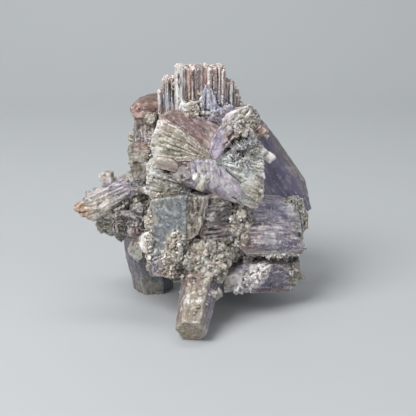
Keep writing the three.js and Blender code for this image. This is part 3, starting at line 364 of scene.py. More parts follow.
        dict(root=(-17.5, -8.6, 39), tip=(-20.9, -8.6, 37.8), face=(-0.3, -1, 0.4), back=(1.4, 5, 0),
             corners=[(-21.2, -8.6, 38.1), (-20.1, -7.8, 39.7), (-18.4, -8, 40.3), (-17.2, -9.4, 39.2),
                      (-17.4, -10.6, 37.2), (-19.7, -10.2, 36.8)],
             step=0.1, pitch=1.2, worn=1.2, crusted=0.3, light=0.85, streaky=0.1, glassy=0.2, frost_and_glint=0.4,
             hues=(GREY_GREEN, GREY_GREEN, FROST), near_root=GREY_GREEN, near_tip=FROST),
        # the white lump, lightened as painted light where it lies in shade
        dict(root=(-12.4, -15, 24.6), tip=(-14.4, -15, 19.3), face=(-0.1, -1, 0.2), back=(1, 6, 0),
             corners=[(-15.4, -15.4, 24.1), (-14.2, -16.2, 25.9), (-12.8, -16.8, 26.4), (-11.6, -17, 24.4),
                      (-12.1, -16.4, 20.9), (-14.1, -15.6, 19.5), (-15.2, -15.4, 21.8)],
             step=0.12, pitch=1, worn=1, crusted=0.35, light=2, streaky=0.1, glassy=0.4, frost_and_glint=1,
             hues=(FROST, CREAM, FROST), near_root=FROST, near_tip=FROST),
        # the grey-green crystal below it
        dict(root=(-14.2, -13, 22.7), tip=(-18.8, -12.6, 17.8), face=(-0.2, -1, 0.1), back=(2, 8, 0),
             corners=[(-19.1, -12, 19.7), (-17.9, -12.4, 22.5), (-15.8, -13.4, 24.9), (-14.6, -15, 22.5),
                      (-14.7, -14.8, 18), (-16.2, -13.8, 16.4), (-18.3, -12.8, 17.9)],
             step=0.16, pitch=1.2, worn=1, crusted=0.3, light=0.85, streaky=0.2, glassy=0.2, frost_and_glint=0.4,
             hues=(OLIVE, GREY_GREEN, TAN), near_root=TAN, near_tip=OLIVE),
    ],
    "foot": [
        # the foot in front
        dict(root=(2.2, -12.5, 12.9), tip=(-0.7, -32, 3.3), face=(0, -0.43, 0.9), back=(2.9, 19.5, 9.6),
             narrow=1.35,
             corners=[(3.7, -32.7, 3), (1.5, -34.5, 6.7), (-3, -33.8, 7), (-5.1, -31.3, 3.7), (-2.9, -29.5, -0.3),
                      (1.6, -30.2, -0.6)],
             step=0.06, pitch=2, worn=0.8, crusted=0.1, light=0.8, streaky=0.35, glassy=1, frost_and_glint=0.25,
             hues=(MAROON, HONEY, HONEY, TAN, LILAC), near_root=LILAC, near_tip=HONEY),
        # the leg on the left, darkened as painted shade
        dict(root=(-16, 5, 26), tip=(-13, 8.2, -0.6), face=(0.1, -1, 0), back=(-3, -3.2, 26.6), narrow=1.18,
             corners=[(-6.9, 8.8, 0.2), (-9.4, 2.7, -0.1), (-15.5, 2.1, -0.9), (-19.1, 7.6, -1.4),
                      (-16.6, 13.7, -1.1), (-10.5, 14.3, -0.3)],
             step=0.08, pitch=2.4, worn=0.9, crusted=0.12, light=0.56, streaky=0.15, glassy=0.8, frost_and_glint=0.15,
             hues=(LILAC, GREY_BLUE, PERIWINKLE), near_root=PERIWINKLE, near_tip=BROWN_GREY),
    ],
}

# Crystals are bundles of laths between root and tip, the ends of their middle line. wide and thick are the section.
# swell is the root's size as a share of the tip's, and slant tips the end face over, along wide and along thick.
# lath is the usual width of the ribs, rough how uneven they are, and rag how ragged the end is.

CRYSTALS = [
    # the lowest crystal's end
    dict(group="right", root=(22, -4, 8), tip=(30.4, -6.6, 9.6), face=(0, -1, 0.3), wide=5.6, thick=5, swell=1,
         slant=(0.2, 0), lath=0.9, rough=0.4, rag=0.9,
         hues=(BROWN_GREY, OLIVE, BROWN_GREY), near_root=BROWN_GREY, near_tip=TAN),
    # the leg on the right
    dict(group="foot", root=(6, 6, 26), tip=(14.6, 19.4, -0.8), face=(0.4, -1, 0), wide=12.5, thick=11.5, swell=1.1,
         slant=(-0.32, -0.5), lath=1.7, rough=0.35, rag=0.3,
         hues=(LILAC, BROWN_GREY, LILAC), near_root=LILAC, near_tip=HONEY),
    # the crystal behind the rubble
    dict(group="left", root=(-6, -3, 33), tip=(-18, -7.2, 22), face=(0, -1, 0.2), wide=9, thick=9.5, swell=1.3,
         slant=(0.2, 0), lath=1.2, rough=0.35, rag=1.2,
         hues=(BROWN_GREY, MAROON, BROWN_GREY), near_root=BROWN_GREY, near_tip=OLIVE),
    # up and to the left
    dict(group="back", root=(1, 2, 40), tip=(-13, 20, 51), face=(0, -0.5, 1), wide=13.5, thick=12, swell=0.85,
         slant=(0.2, 0.1), lath=1.6, rough=0.4, rag=0.9,
         hues=(OLIVE, CREAM, LILAC, LILAC), near_root=LILAC, near_tip=RUST),
    # up and to the right
    dict(group="back", root=(2, 3, 40), tip=(15.5, 23, 47), face=(0, -0.4, 1), wide=15, thick=13, swell=0.85,
         slant=(-0.15, 0.1), lath=1.8, rough=0.3, rag=0.7,
         hues=(LILAC, VIOLET, LILAC, PERIWINKLE), near_root=LILAC, near_tip=MAROON),
    # straight back
    dict(group="back", root=(0, 4, 31), tip=(-3, 32.4, 29.5), face=(0.2, 0, 1), wide=15.5, thick=13.5, swell=0.8,
         slant=(0.06, 0.04), lath=1.6, rough=0.4, rag=0.9,
         hues=(CREAM, OLIVE, CREAM, LILAC), near_root=LILAC, near_tip=CREAM),
    # down to the left
    dict(group="back", root=(-2, 3, 28), tip=(-22.4, 17, 21), face=(0.3, 0.2, 1), wide=12, thick=11, swell=0.9,
         slant=(0.2, 0.1), lath=1.7, rough=0.35, rag=0.8,
         hues=(BROWN_GREY, LILAC, LILAC), near_root=VIOLET, near_tip=OLIVE),
    # to the right
    dict(group="back", root=(4, 3, 30), tip=(25.5, 19.5, 31.5), face=(0, 0.2, 1), wide=13.5, thick=12, swell=0.85,
         slant=(-0.2, 0), lath=1.5, rough=0.4, rag=0.8,
         hues=(GREY_GREEN, LILAC, CREAM), near_root=LILAC, near_tip=CREAM),
    # low on the right
    dict(group="back", root=(6, 4, 20), tip=(28, 8.6, 16.5), face=(0, 0.5, 1), wide=12, thick=11, swell=0.95,
         slant=(0.1, 0.1), lath=1.6, rough=0.45, rag=0.8,
         hues=(BROWN_GREY, LILAC, BROWN_GREY), near_root=BROWN_GREY, near_tip=TAN),
]

# The crown's front ribs from left to right: the x where each starts, its top, how far forward it stands, its colour.
# They end at CROWN_RIGHT, and reach back to CROWN_FRONT_FAR.
CROWN_FLOOR = 38
CROWN_RIBS = [
    (-10.6, 62.6, 0.6, MAROON), (-8.3, 66.4, -0.8, MAROON), (-5.5, 70.0, -3.6, FROST), (-3.3, 69.4, -3.1, MAROON),
    (-1.3, 69.8, -3.3, ROSE), (0.6, 69.6, -3.0, MAROON), (2.4, 70.0, -3.3, ROSE), (4.4, 69.7, -3.1, RUST),
    (6.4, 69.9, -3.4, MAROON), (8.2, 65.4, -2.6, MAROON), (10.4, 61.8, -1.3, PINK), (12.0, 59.0, 0.2, TAN),
]
CROWN_RIGHT = 13.6
CROWN_FRONT_FAR = 4.6

# The crown's columns behind: left and right side, top, near and far side.
CROWN_BACK = [
    (-9.4, -4.6, 65.6, 4.4, 10), (-4.8, -0.4, 67.8, 4.4, 9.2), (-0.6, 3.4, 66.6, 4.4, 10.4),
    (3.2, 7.8, 67.4, 4.4, 9.6), (7.6, 12.6, 62.8, 4.4, 10.6), (-5.6, 0.4, 63.4, 9, 15),
    (0.2, 6.2, 64.6, 9.4, 15.6), (6, 10.6, 60.4, 9.4, 14),
]

# What all the columns of the crown have, in the words of the blocks and crystals.
CROWN_COLUMN = dict(
    face=(1, 0, 0), swell=1, slant=(0, 0), lath=0.75, rough=0.28, rag=0.6, broken=0.04, fade=0.75,
    near_root=LILAC, near_tip=ROSE, step=0.26, pitch=0.8, worn=0.15, crusted=0.02,
    light=1.12, streaky=1, glassy=0.3, frost_and_glint=1,
)

# Lumps that the crystals grow out of: group, centre, half sizes and colour.
HEARTS = [
    ("face", (1, 0.5, 35), (13, 11.5, 17), BROWN_GREY),
    ("face", (4, -1, 19), (15, 12.5, 11.5), BROWN_GREY),
    ("face", (2.4, -10.6, 17.6), (9, 8.6, 8.4), CREAM),
    ("right", (15, 2, 20), (12, 10, 12), BROWN_GREY),
    # a dark green lump, painted shade in the pit beside the ear
    ("bow", (14, -5, 47), (5.4, 4, 4.6), PIT_SHADE),
    ("left", (-12.6, 1, 39), (5, 6.4, 12), BROWN_GREY),
    ("left", (-16, -4.4, 29.6), (7.4, 6.6, 8), BROWN_GREY),
    ("bow", (3, -7, 42), (12.6, 6, 7), BROWN_GREY),
    ("bow", (12, -8, 50), (6, 3.4, 7), BROWN_GREY),
    ("right", (19, -1, 21), (11, 6.4, 8.6), BROWN_GREY),
    ("right", (12, -8, 26), (5, 5, 8), BROWN_GREY),
    # a navy lump, painted shade in the hollow behind the left knobs
    ("left", (-14.6, -5, 36), (4, 4.8, 6.4), NAVY_SHADE),
    ("crown", (4.6, -2.6, 56), (7, 4.2, 3.4), LILAC),
    ("right", (22, -5, 15), (8.6, 3.6, 6), BROWN_GREY),
    ("face", (9, -9, 27), (6, 4.6, 9), BROWN_GREY),
]

# Single small crystals: group, middle, length, width, the way each points, and its colour.
KNOBS = [
    ("crown", (-15.4, 1.6, 56.6), 4, 3.4, (-0.6, -0.3, 1), RUST),
    ("crown", (8.6, -3.4, 56), 7, 3.6, (0.2, -0.1, 1), LILAC),
    ("left", (-17.4, -8.6, 33.4), 5, 3.8, (-0.6, -1, 0.5), BROWN_GREY),
    ("left", (-14.8, -10.4, 30.6), 5, 4.2, (0.1, -1, 0.5), BROWN_GREY),
    ("left", (-18.6, -10.4, 28.8), 5.4, 3.8, (-0.8, -1, 0.1), MAROON),
    ("left", (-15.6, -11, 26.2), 5, 3.8, (-0.2, -1, -0.4), BROWN_GREY),
    ("left", (-23, -8.4, 24.8), 5, 4, (-0.4, -0.2, -1), GREY_GREEN),
    ("left", (-20.4, -7.6, 23), 5.4, 4.4, (-0.6, -0.2, -0.9), OLIVE),
    ("left", (-13.4, -8.6, 36.4), 4, 3.6, (-0.2, -1, 0.2), TAN),
    ("bow", (2.2, -16.2, 40.2), 4, 3.4, (-0.25, -0.5, -1), CREAM),
    ("bow", (0.8, -16.2, 41.8), 3, 3, (-0.6, -1, 0.6), FROST),
    ("bow", (18.6, -6, 52.4), 3.4, 3, (0.6, -0.2, 0.6), RUST),
    ("bow", (19.6, -6.4, 51.6), 3, 2.2, (0.8, -0.3, -0.5), CREAM),
    ("bow", (18, -7.4, 47.6), 4.4, 3.6, (0.8, -0.5, -0.5), FROST),
    ("bow", (20.4, -6.6, 45.4), 4, 3, (0.8, -0.3, -0.6), FROST),
    ("right", (30.6, -1, 23.6), 5, 5.2, (1, -0.1, 0.2), OLIVE),
    ("foot", (6.6, -16.6, 8.6), 2.6, 2.4, (0.7, -0.8, -0.4), CREAM),
    ("right", (13, -15.2, 9.8), 3, 1.6, (-0.2, -0.7, 0.8), FROST),
    ("right", (15.2, -14.8, 10.8), 3.4, 1.6, (0.3, -0.6, 1), FROST),
    ("right", (16.8, -14.6, 10.2), 3, 1.5, (0.9, -0.5, 0.5), FROST),
    ("right", (17.8, -14, 12.2), 3.4, 1.6, (0.5, -0.5, 1), FROST),
    ("right", (19.6, -13.4, 13.4), 3.6, 1.6, (0.4, -0.4, 1), FROST),
    ("right", (20.8, -12.6, 14.4), 3, 1.4, (0.8, -0.3, 1), FROST),
]

# Which way a line runs that looks for the stone.
FROM_FRONT, FROM_BEHIND = (0, 1, 0), (0, -1, 0)
FROM_LEFT, FROM_RIGHT = (1, 0, 0), (-1, 0, 0)
FROM_BELOW, FROM_ABOVE = (0, 0, 1), (0, 0, -1)

# Swarms of middling crystals where lines from around a point meet the stone: group, point, direction, spread
# sideways and upward, how many, shortest and longest, thinnest and widest, colours, seed.
SWARMS = [
    ("left", (-18.4, -40, 29), FROM_FRONT, (4.2, 6.6), 24, (3, 5.5), (2.4, 4),
     (BROWN_GREY, OLIVE, BROWN_GREY, MAROON), 12),
    ("face", (3, -40, 15.6), FROM_FRONT, (8.6, 6.6), 34, (2.4, 4), (1.8, 3.2), (CREAM, CREAM, TAN, GREY_GREEN), 11),
    ("right", (12.6, -40, 26), FROM_FRONT, (2.4, 7), 18, (2.4, 4), (1.6, 3), (CREAM, TAN, BROWN_GREY), 32),
    ("right", (31, -40, 11), FROM_FRONT, (3, 4), 9, (2.4, 4), (1.6, 3), (BROWN_GREY, OLIVE, TAN), 13),
    ("back", (2, 50, 32), FROM_BEHIND, (20, 18), 60, (3, 6), (2, 4), (CREAM, OLIVE, LILAC, BROWN_GREY), 15),
    ("back", (50, 16, 26), FROM_RIGHT, (6, 14), 30, (3, 5), (2, 3.6), (CREAM, OLIVE, TAN), 16),
    ("left", (-50, 6, 36), FROM_LEFT, (12, 14), 40, (3, 5), (2, 3.6), (BROWN_GREY, OLIVE, TAN), 17),
    ("foot", (2, 0, -30), FROM_BELOW, (18, 16), 40, (3, 5), (2, 3.6), (BROWN_GREY, OLIVE, LILAC), 18),
]

# Grains: the small sharp crystals of the crust, found in the same way: point, direction, spread, how many, smallest
# and largest width, length for a width of 1, how far the stone may bulge there, colours, seed.
ANYWHERE = 9  # more than the stone bulges
GRAINS = {
    "front_grains": [
        ((1, -60, 15), FROM_FRONT, (8, 7), 360, (0.4, 1.2), 1.1, 0, (CREAM, TAN, GREY_GREEN, FROST), 51),
        ((-12.8, -60, 25), FROM_FRONT, (1, 10), 190, (0.4, 1.2), 1, ANYWHERE, (CREAM, FROST, TAN), 52),
        ((-5, -60, 20), FROM_FRONT, (3.8, 7), 170, (0.4, 1.1), 1.1, ANYWHERE, (CREAM, FROST, OLIVE, TAN), 53),
        ((-18.4, -60, 28), FROM_FRONT, (5, 8), 120, (0.4, 1.1), 1.3, -0.06, (BROWN_GREY, MAROON, BROWN_GREY), 54),
        ((12, -60, 26), FROM_FRONT, (2.4, 8), 180, (0.4, 1.1), 1.2, 0, (CREAM, TAN, BROWN_GREY, FROST), 56),
        ((22, -60, 17), FROM_FRONT, (8, 0.8), 120, (0.3, 0.9), 1.3, ANYWHERE, (CREAM, FROST, TAN), 57),
        ((30, -60, 28), FROM_FRONT, (3, 5), 90, (0.3, 0.9), 1.2, 0, (OLIVE, GREY_GREEN, TAN, CREAM), 58),
        ((14.4, -60, 47.4), FROM_FRONT, (4, 3.4), 460, (0.14, 0.3), 7, ANYWHERE,
         (FROST, FROST, GREY_GREEN, PERIWINKLE), 60),
        ((13, -60, 56), FROM_FRONT, (4.4, 4), 110, (0.4, 1), 1.4, 0, (CREAM, TAN, FROST), 61),
        ((-12.4, -60, 48), FROM_FRONT, (1, 8), 120, (0.2, 0.6), 1.2, ANYWHERE, (FROST, CREAM), 62),
        ((0, -60, 58.4), FROM_FRONT, (3.4, 1.8), 60, (0.4, 1), 1.1, ANYWHERE, (TAN, CREAM, FROST), 63),
        ((2, -60, 35), FROM_FRONT, (32, 34), 1600, (0.2, 0.5), 1.2, -0.14, (CREAM, FROST, TAN), 64),
        ((2, -60, 35), FROM_FRONT, (32, 34), 60, (0.16, 0.3), 1, ANYWHERE, (CREAM, FROST), 70),
        ((12.8, -60, 8.8), FROM_FRONT, (1.7, 1.3), 44, (0.4, 1), 2.4, ANYWHERE, (FROST, ORCHID, FROST), 71),
        ((15.8, -60, 10.9), FROM_FRONT, (1.8, 1.1), 44, (0.4, 0.9), 2.6, ANYWHERE, (FROST, FROST, ORCHID), 72),
        ((18.8, -60, 13.2), FROM_FRONT, (1.8, 1.1), 44, (0.4, 0.9), 2.6, ANYWHERE, (FROST, FROST, ORCHID), 73),
    ],
    "back_grains": [
        ((0, 60, 34), FROM_BEHIND, (30, 32), 2600, (0.4, 1.3), 1.3, -0.1, (CREAM, OLIVE, BROWN_GREY, LILAC), 65),
        ((60, 4, 32), FROM_RIGHT, (28, 32), 1800, (0.4, 1.3), 1.2, -0.1, (CREAM, OLIVE, TAN, BROWN_GREY), 66),
        ((-60, 4, 34), FROM_LEFT, (28, 32), 1800, (0.4, 1.3), 1.2, -0.1, (CREAM, OLIVE, TAN, BROWN_GREY), 67),
        ((0, 0, 120), FROM_ABOVE, (30, 30), 1200, (0.4, 1.2), 1.2, -0.1, (CREAM, TAN, OLIVE, FROST), 68),
        ((0, 0, -30), FROM_BELOW, (26, 26), 1200, (0.4, 1.3), 1.2, -0.1, (BROWN_GREY, OLIVE, LILAC), 69),
    ],
}

# Stains, frosted places, painted highlights and painted shade: middle, reach, colour and strength. Later ones lie
# over earlier ones.
STAINS = [
    ((4.2, -3.6, 60.6), 4.6, PERIWINKLE, 0.75),
    ((9.4, -2.4, 58.4), 3.6, PERIWINKLE, 0.6),
    ((-8.4, -1, 60.4), 3.4, PERIWINKLE, 0.6),
    ((-33.1, -12, 31), 5, ORANGE, 0.9),
    ((-30.3, -12.6, 29.1), 3, ORANGE, 0.7),
    ((-21.8, -11, 38.5), 5.5, LILAC, 0.5),
    ((-20.4, -10.6, 38), 4.4, PLUM, 0.55),
    ((-27.1, -12, 34.4), 3.4, CREAM, 0.4),
    ((-25.4, -13, 33.3), 2.6, FROST, 0.3),
    ((-11.9, -15, 51.4), 2.6, FROST, 0.7),
    ((-11.4, -15.4, 48.7), 3, FROST, 0.6),
    ((-10.3, -14, 54.5), 3, FROST, 0.45),
    ((-8.4, -12.6, 56.7), 3.4, PINK, 0.5),
    ((0.5, -14.6, 49.9), 3.4, RUST, 0.45),
    ((-3, -15.8, 43.2), 2.4, FROST, 0.4),
    # painted highlights on the glossy lilac band
    ((2.2, -16.4, 44.5), 2.2, FROST, 0.6),
    ((3.3, -16.2, 41.6), 2.4, FROST, 0.5),
    ((8.2, -16, 39.9), 2.4, FROST, 0.4),
    ((10.1, -15.6, 37.5), 2, FROST, 0.3),
    ((9.3, -14.4, 42.9), 2.6, FROST, 0.3),
    ((15.9, -13, 40.8), 3, FROST, 0.55),
    ((15, -14.6, 36.6), 2, TAN, 0.6),
    ((16.6, -14, 33.6), 3, CREAM, 0.7),
    ((13.4, -15, 35), 2, GREY_GREEN, 0.5),
    ((17.6, -12, 43.4), 2.6, CREAM, 0.6),
    ((-13.3, -12.4, 41.2), 2, FROST, 0.7),
    ((-13.7, -12.8, 36.7), 2.6, FROST, 0.7),
    ((-9.9, -13.4, 42), 2.6, FROST, 0.45),
    # painted shade at the olive sheaf's left end
    ((-14.6, -12, 38.6), 1.6, NAVY_SHADE, 0.8),
    ((-14.4, -12, 41.6), 1.4, NAVY_SHADE, 0.7),
    ((-12, -13.4, 35), 2.4, CREAM, 0.5),
    ((-7, -13.6, 34.8), 2.6, OLIVE, 0.5),
    # painted shade in the pit beside the ear
    ((13, -9.8, 48.2), 4.2, PIT_SHADE, 0.85),
    ((16.4, -9.6, 50.4), 2.6, PERIWINKLE, 0.6),
    ((14.2, -12, 46.2), 2.6, PERIWINKLE, 0.45),
    ((9.6, -10.6, 54.3), 3, ORCHID, 0.7),
    ((10.6, -11.4, 52), 2.6, RUST, 0.6),
    ((17.4, -7.4, 53.3), 2.2, RUST, 0.9),
    ((17.8, -7, 48.1), 3.4, FROST, 0.9),
    ((20.7, -6, 45.3), 2.4, FROST, 0.8),
    ((15.4, -8, 58.8), 3, FROST, 0.5),
    ((10.4, -9.6, 56.3), 2.6, FROST, 0.5),
    # a painted highlight on the shoulder, then painted highlights along the top of the pointed crystal
    ((27.6, -5, 29.7), 2.2, FROST, 0.6),
    ((15.6, -12, 26.1), 1.8, FROST, 0.6),
    ((19.9, -11, 26.6), 2, FROST, 0.6),
    ((24.2, -10, 26.4), 1.8, FROST, 0.55),
    ((28.6, -9, 24.4), 1.6, CREAM, 0.5),
    ((13.5, -13, 23.5), 2, CREAM, 0.6),
    # painted shade along the crease above the pointed crystal
    ((17.8, -9.6, 28.4), 1.8, NAVY_SHADE, 0.5),
    ((22.8, -8.6, 28.6), 1.8, NAVY_SHADE, 0.5),
    ((26.6, -7.4, 27.2), 1.8, NAVY_SHADE, 0.45),
    ((17.4, -13.4, 22.2), 3, MAROON, 0.35),
    ((21, -12.6, 23.2), 3, FROST, 0.35),
    ((15.7, -13, 16.1), 3, FROST, 0.4),
    ((21.4, -10, 24.7), 3, ORCHID, 0.4),
    ((18.4, -13.4, 9.4), 3, ORCHID, 0.5),
    ((12.8, -15, 12.1), 3, FROST, 0.7),
    ((15, -14.4, 10.6), 2, FROST, 0.8),
    ((19.8, -12.6, 14), 2, FROST, 0.9),
    ((17.4, -14, 13.5), 2.4, FROST, 0.6),
    ((14.3, -14.4, 7.6), 3.4, MAROON, 0.5),
    # a painted highlight on the foot
    ((-1.1, -26, 6.4), 2.2, FROST, 0.85),
    ((-0.2, -20, 12.7), 4.6, MAROON, 0.7),
    ((-3.2, -22, 11.2), 3.2, MAROON, 0.6),
    ((4.4, -22, 9.8), 3.4, LILAC, 0.6),
    # a painted highlight on the foot
    ((-0.9, -26.4, 8.8), 3.2, FROST, 0.8),
    ((3, -21, 8.8), 3, LILAC, 0.5),
    ((-4.6, -22, 10), 3, BROWN_GREY, 0.5),
    ((-5.1, -4, 65.6), 2.6, FROST, 0.6),
    ((5.2, -17, 22.6), 3, GREY_GREEN, 0.4),
    ((3.4, -20, 16), 2.6, BROWN_GREY, 0.5),
    ((-1.4, -19.4, 19.6), 2.4, BROWN_GREY, 0.45),
    ((-11.8, -14.6, 23.3), 2.6, FROST, 0.7),
    ((-13.4, -16, 23.6), 3, FROST, 0.95),
    ((-11.8, -14.2, 28.4), 2.2, CREAM, 0.6),
    ((-9, -18.6, 13.6), 2.4, RUST, 0.45),
    ((-14, 4, 2), 5, OLIVE, 0.5),
    ((-18, -9.5, 28), 7, UMBER, 0.7),
    ((-17.4, 1, 57), 3, RUST, 0.6),
    ((-15.4, -4, 47.4), 2.4, RUST, 0.35),
    ((-15.3, -12, 24.8), 3, PINK, 0.3),
]

# Holes between the crystals: middle, reach and depth.
PITS = [
    ((12.4, -10, 48.8), 4, 1.8),
    ((15.6, -9.6, 47.6), 3, 1.4),
    ((11.4, -12, 46.4), 2.2, 1),
]

# Each group is one piece: the size of its mesh's grid.
GROUPS = {
    "crown": 0.27, "bow": 0.24, "blade": 0.34, "face": 0.3, "right": 0.3, "foot": 0.38, "left": 0.3, "back": 0.5,
}

# How many times the creases of a group are filled.
CREASE_ROUNDS = {"crown": 1, "back": 4, "right": 7, "face": 8}
USUAL_CREASE_ROUNDS = 14


# ---- small tools ----

def crystal_frame(root, tip, face):
    """The frame of a crystal: its z runs along it and its y is the way its broad side faces."""
    along = (Vector(tip) - Vector(root)).normalized()
    out = Vector(face)
    out = (out - along * out.dot(along)).normalized()
    across = out.cross(along)
    return Matrix.Translation(Vector(root)) @ Matrix((across, out, along)).transposed().to_4x4()


def new_mesh(name, bm):
    """A mesh with bm's shape."""
    mesh = bpy.data.meshes.new(name)
    bm.to_mesh(mesh)
    return mesh


def new_object(name, data):
    """An object in the scene that holds data, at the origin."""
    thing = bpy.data.objects.new(name, data)
    bpy.context.collection.objects.link(thing)
    return thing


def pour(bm, into):
    """Add a copy of bm's shape to the bmesh into."""
    part = new_mesh("part", bm)
    into.from_mesh(part)
    bpy.data.meshes.remove(part)


def jitter(dice, amount):
    """A random shift of up to amount along each axis."""
    return Vector([dice.uniform(-1, 1) for _ in range(3)]) * amount


def in_box(points):
    """The points, in millimetres, kept inside the solid's box."""
    low, high = [np.array(side) / MM for side in CAD_BOX]
    return points.clip(low, high)


def eased(part):
    """A share from 0 to 1, with a soft start and end."""
    return part * part * (3 - 2 * part)


def sloped(values, wide):
    """0 where the values are below 0 and 1 where they are above wide, with a straight slope between."""
    return (values / wide).clip(0, 1)


def blended(colour, hue, cover):
    """The colours with hue over them, as far as cover says for each point."""
    cover = cover[:, None]
    return colour * (1 - cover) + np.array(hue) * cover


# ---- noise ----

AXIS_PRIMES = (73856093, 19349663, 83492791)  # these four spread the cells' numbers
SEED_PRIME = 668265263
MIXER = 1274126177


def scattered(cell, seed):
    """A number from 0 to 1 for each whole-numbered cell, different for each seed."""
    x, y, z = [cell[:, axis] * prime for axis, prime in enumerate(AXIS_PRIMES)]
    mixed = x ^ y ^ z ^ (seed * SEED_PRIME)
    mixed = ((mixed ^ (mixed >> 13)) * MIXER) & 0x7FFFFFFF
    return ((mixed ^ (mixed >> 15)) & 0xFFFF) / 0xFFFF


def lattice_noise(points, seed):
    """Smooth noise from -1 to 1, one wave for each unit of points. Each use has a seed of its own."""
    cell = np.floor(points).astype(np.int64)
    part = eased(points - cell)
    total = np.zeros(len(points))
    for corner in itertools.product((0, 1), repeat=3):
        weight = np.where(np.array(corner) == 1, part, 1 - part).prod(axis=1)
        total += (scattered(cell + np.array(corner), seed) * 2 - 1) * weight
    return total


def waves(points, table):
    """Noises on top of each other, each with its width in millimetres, its seed and its height."""
    return sum(lattice_noise(points / wide, seed) * high for wide, seed, high in table)


def facets(points, seed):
    """Heights from about -1 to 1 of flat tilted facets, about one for each unit of points, with sharp steps."""
    cell = np.floor(points).astype(np.int64)
    nearest = np.full(len(points), np.inf)
    height = np.zeros(len(points))
    for corner in itertools.product((-1, 0, 1), repeat=3):
        spot = cell + np.array(corner)
        shift = np.stack([scattered(spot, seed + axis) for axis in range(3)], axis=1)
        away = points - spot - shift
        distance = (away ** 2).sum(axis=1)
        closer = distance < nearest
        nearest[closer] = distance[closer]
        lean = (away * (shift - 0.5)).sum(axis=1) * 2
        height[closer] = (scattered(spot, seed + 3) * 2 - 1 + lean)[closer]
    return height


# ---- crystals ----

SLANT_SHARE = 0.29  # how far the slanted sides of a section reach in, as a share of its thickness
SLANT_MOST = 0.25  # and at most, as a share of its width

CORE_SHORT = 0.7  # how far a core stays short of the crystal's end, as a share of rag

LATH_DEPTH = 2.4  # how deep the laths reach into their crystal
LATH_DEPTH_SHARE = 0.8  # and at most, as a share of its thinner way
LATH_OVERLAP = 0.2
LATH_SMALLEST = 0.3  # a gap that is narrower stays open
LATH_WIDTHS = (0.45, 1.6)  # as shares of lath
LATH_HEIGHTS = (-1, 0.7)  # as shares of rough
LATH_ENDS = (-1, 0.25)  # as shares of rag
LATH_BREAKS = (0.6, 0.92)  # where a broken lath ends, as shares of the crystal's length
LATH_TURN = 0.08  # in radians

COLUMN_LATHS = 1.4  # how wide the columns of an end are, in laths
COLUMN_MARGIN = 1.2  # how much narrower than the section all of them are together
COLUMN_RIM = 0.8  # how far inside the section's long sides they stay
COLUMN_SHIFT = 0.3
COLUMN_TURN = 0.3  # in radians
COLUMN_SIZES = (0.9, 1.3)  # as shares of their usual width
COLUMN_ENDS = (-0.9, 0.1)  # as shares of rag
COLUMN_DEPTH = 5


class Group:
    """The rough shape of one piece, and what each of its faces belongs to."""

    def __init__(self):
        self.bm = bmesh.new()
        self.owners = []
        self.owner_of_face = []

    def take(self, bm, owner):
        """Add the shape in bm, whose faces belong to owner."""
        pour(bm, self.bm)
        bm.free()
        self.owner_of_face += [len(self.owners)] * (len(self.bm.faces) - len(self.owner_of_face))
        self.owners.append(owner)


def build_block(group, spec):
    """A convex block through its corners and the same corners further back."""
    spec = USUAL | spec
    corners = [Vector(corner) for corner in spec["corners"]]
    centre = sum(corners, Vector()) / len(corners)
    behind = [centre + (corner - centre) * spec["narrow"] + Vector(spec["back"]) for corner in corners]
    bm = bmesh.new()
    bmesh.ops.convex_hull(bm, input=[bm.verts.new(corner) for corner in corners + behind])
    bmesh.ops.delete(bm, geom=[v for v in bm.verts if not v.link_faces], context="VERTS")
    bmesh.ops.recalc_face_normals(bm, faces=bm.faces)
    place = crystal_frame(spec["root"], spec["tip"], spec["face"])
    length = (Vector(spec["tip"]) - Vector(spec["root"])).length
    group.take(bm, dict(spec, place=place, length=length))


def hexagon(wide, thick):
    """The corners of a crystal's section."""
    slant = min(thick * SLANT_SHARE, wide * SLANT_MOST)
    x, y = wide / 2, thick / 2
    corners = ((x, 0), (x - slant, y), (slant - x, y), (-x, 0), (slant - x, -y), (x - slant, -y))
    return [Vector(corner) for corner in corners]


def upright_box(bm, matrix, size, low, high):
    """A box from low to high along the matrix's z, whose section is size."""
    place = matrix @ Matrix.Translation((0, 0, (low + high) / 2)) @ Matrix.Diagonal((*size, high - low, 1))
    bmesh.ops.create_cube(bm, size=1, matrix=place)


def core(bm, wide, thick, length):
    """The plain six-sided prism inside a crystal."""
    bmesh.ops.create_cone(bm, cap_ends=True, segments=6, radius1=1, radius2=1, depth=length,
                          matrix=Matrix.Translation((0, 0, length / 2)))
    corners = hexagon(wide, thick)
    for v in bm.verts:
        turn = math.atan2(v.co.y, v.co.x) / (math.pi / 3)
        v.co.xy = corners[round(turn) % 6]


def side_laths(bm, spec, length, dice):
    """Laths along the six sides, each with its own width, height and end."""
    corners = hexagon(spec["wide"], spec["thick"])
    deep = min(LATH_DEPTH, LATH_DEPTH_SHARE * min(spec["wide"], spec["thick"]))
    for number, start in enumerate(corners):
        side = corners[(number + 1) % 6] - start
        out = Vector((side.y, -side.x)).normalized()
        turned = math.atan2(side.y, side.x)
        at = 0
        while at < side.length - LATH_SMALLEST:
            wide = min(spec["lath"] * dice.uniform(*LATH_WIDTHS), side.length - at)
            proud = spec["rough"] * dice.uniform(*LATH_HEIGHTS)
            middle = start + side.normalized() * (at + wide / 2) + out * (proud - deep / 2)
            end = length + spec["rag"] * dice.uniform(*LATH_ENDS)
            if dice.random() < spec["broken"]:
                end = length * dice.uniform(*LATH_BREAKS)
            turn = Matrix.Rotation(turned + dice.uniform(-LATH_TURN, LATH_TURN), 4, "Z")
            upright_box(bm, Matrix.Translation((*middle, 0)) @ turn, (wide + LATH_OVERLAP, deep), 0, end)
            at += wide


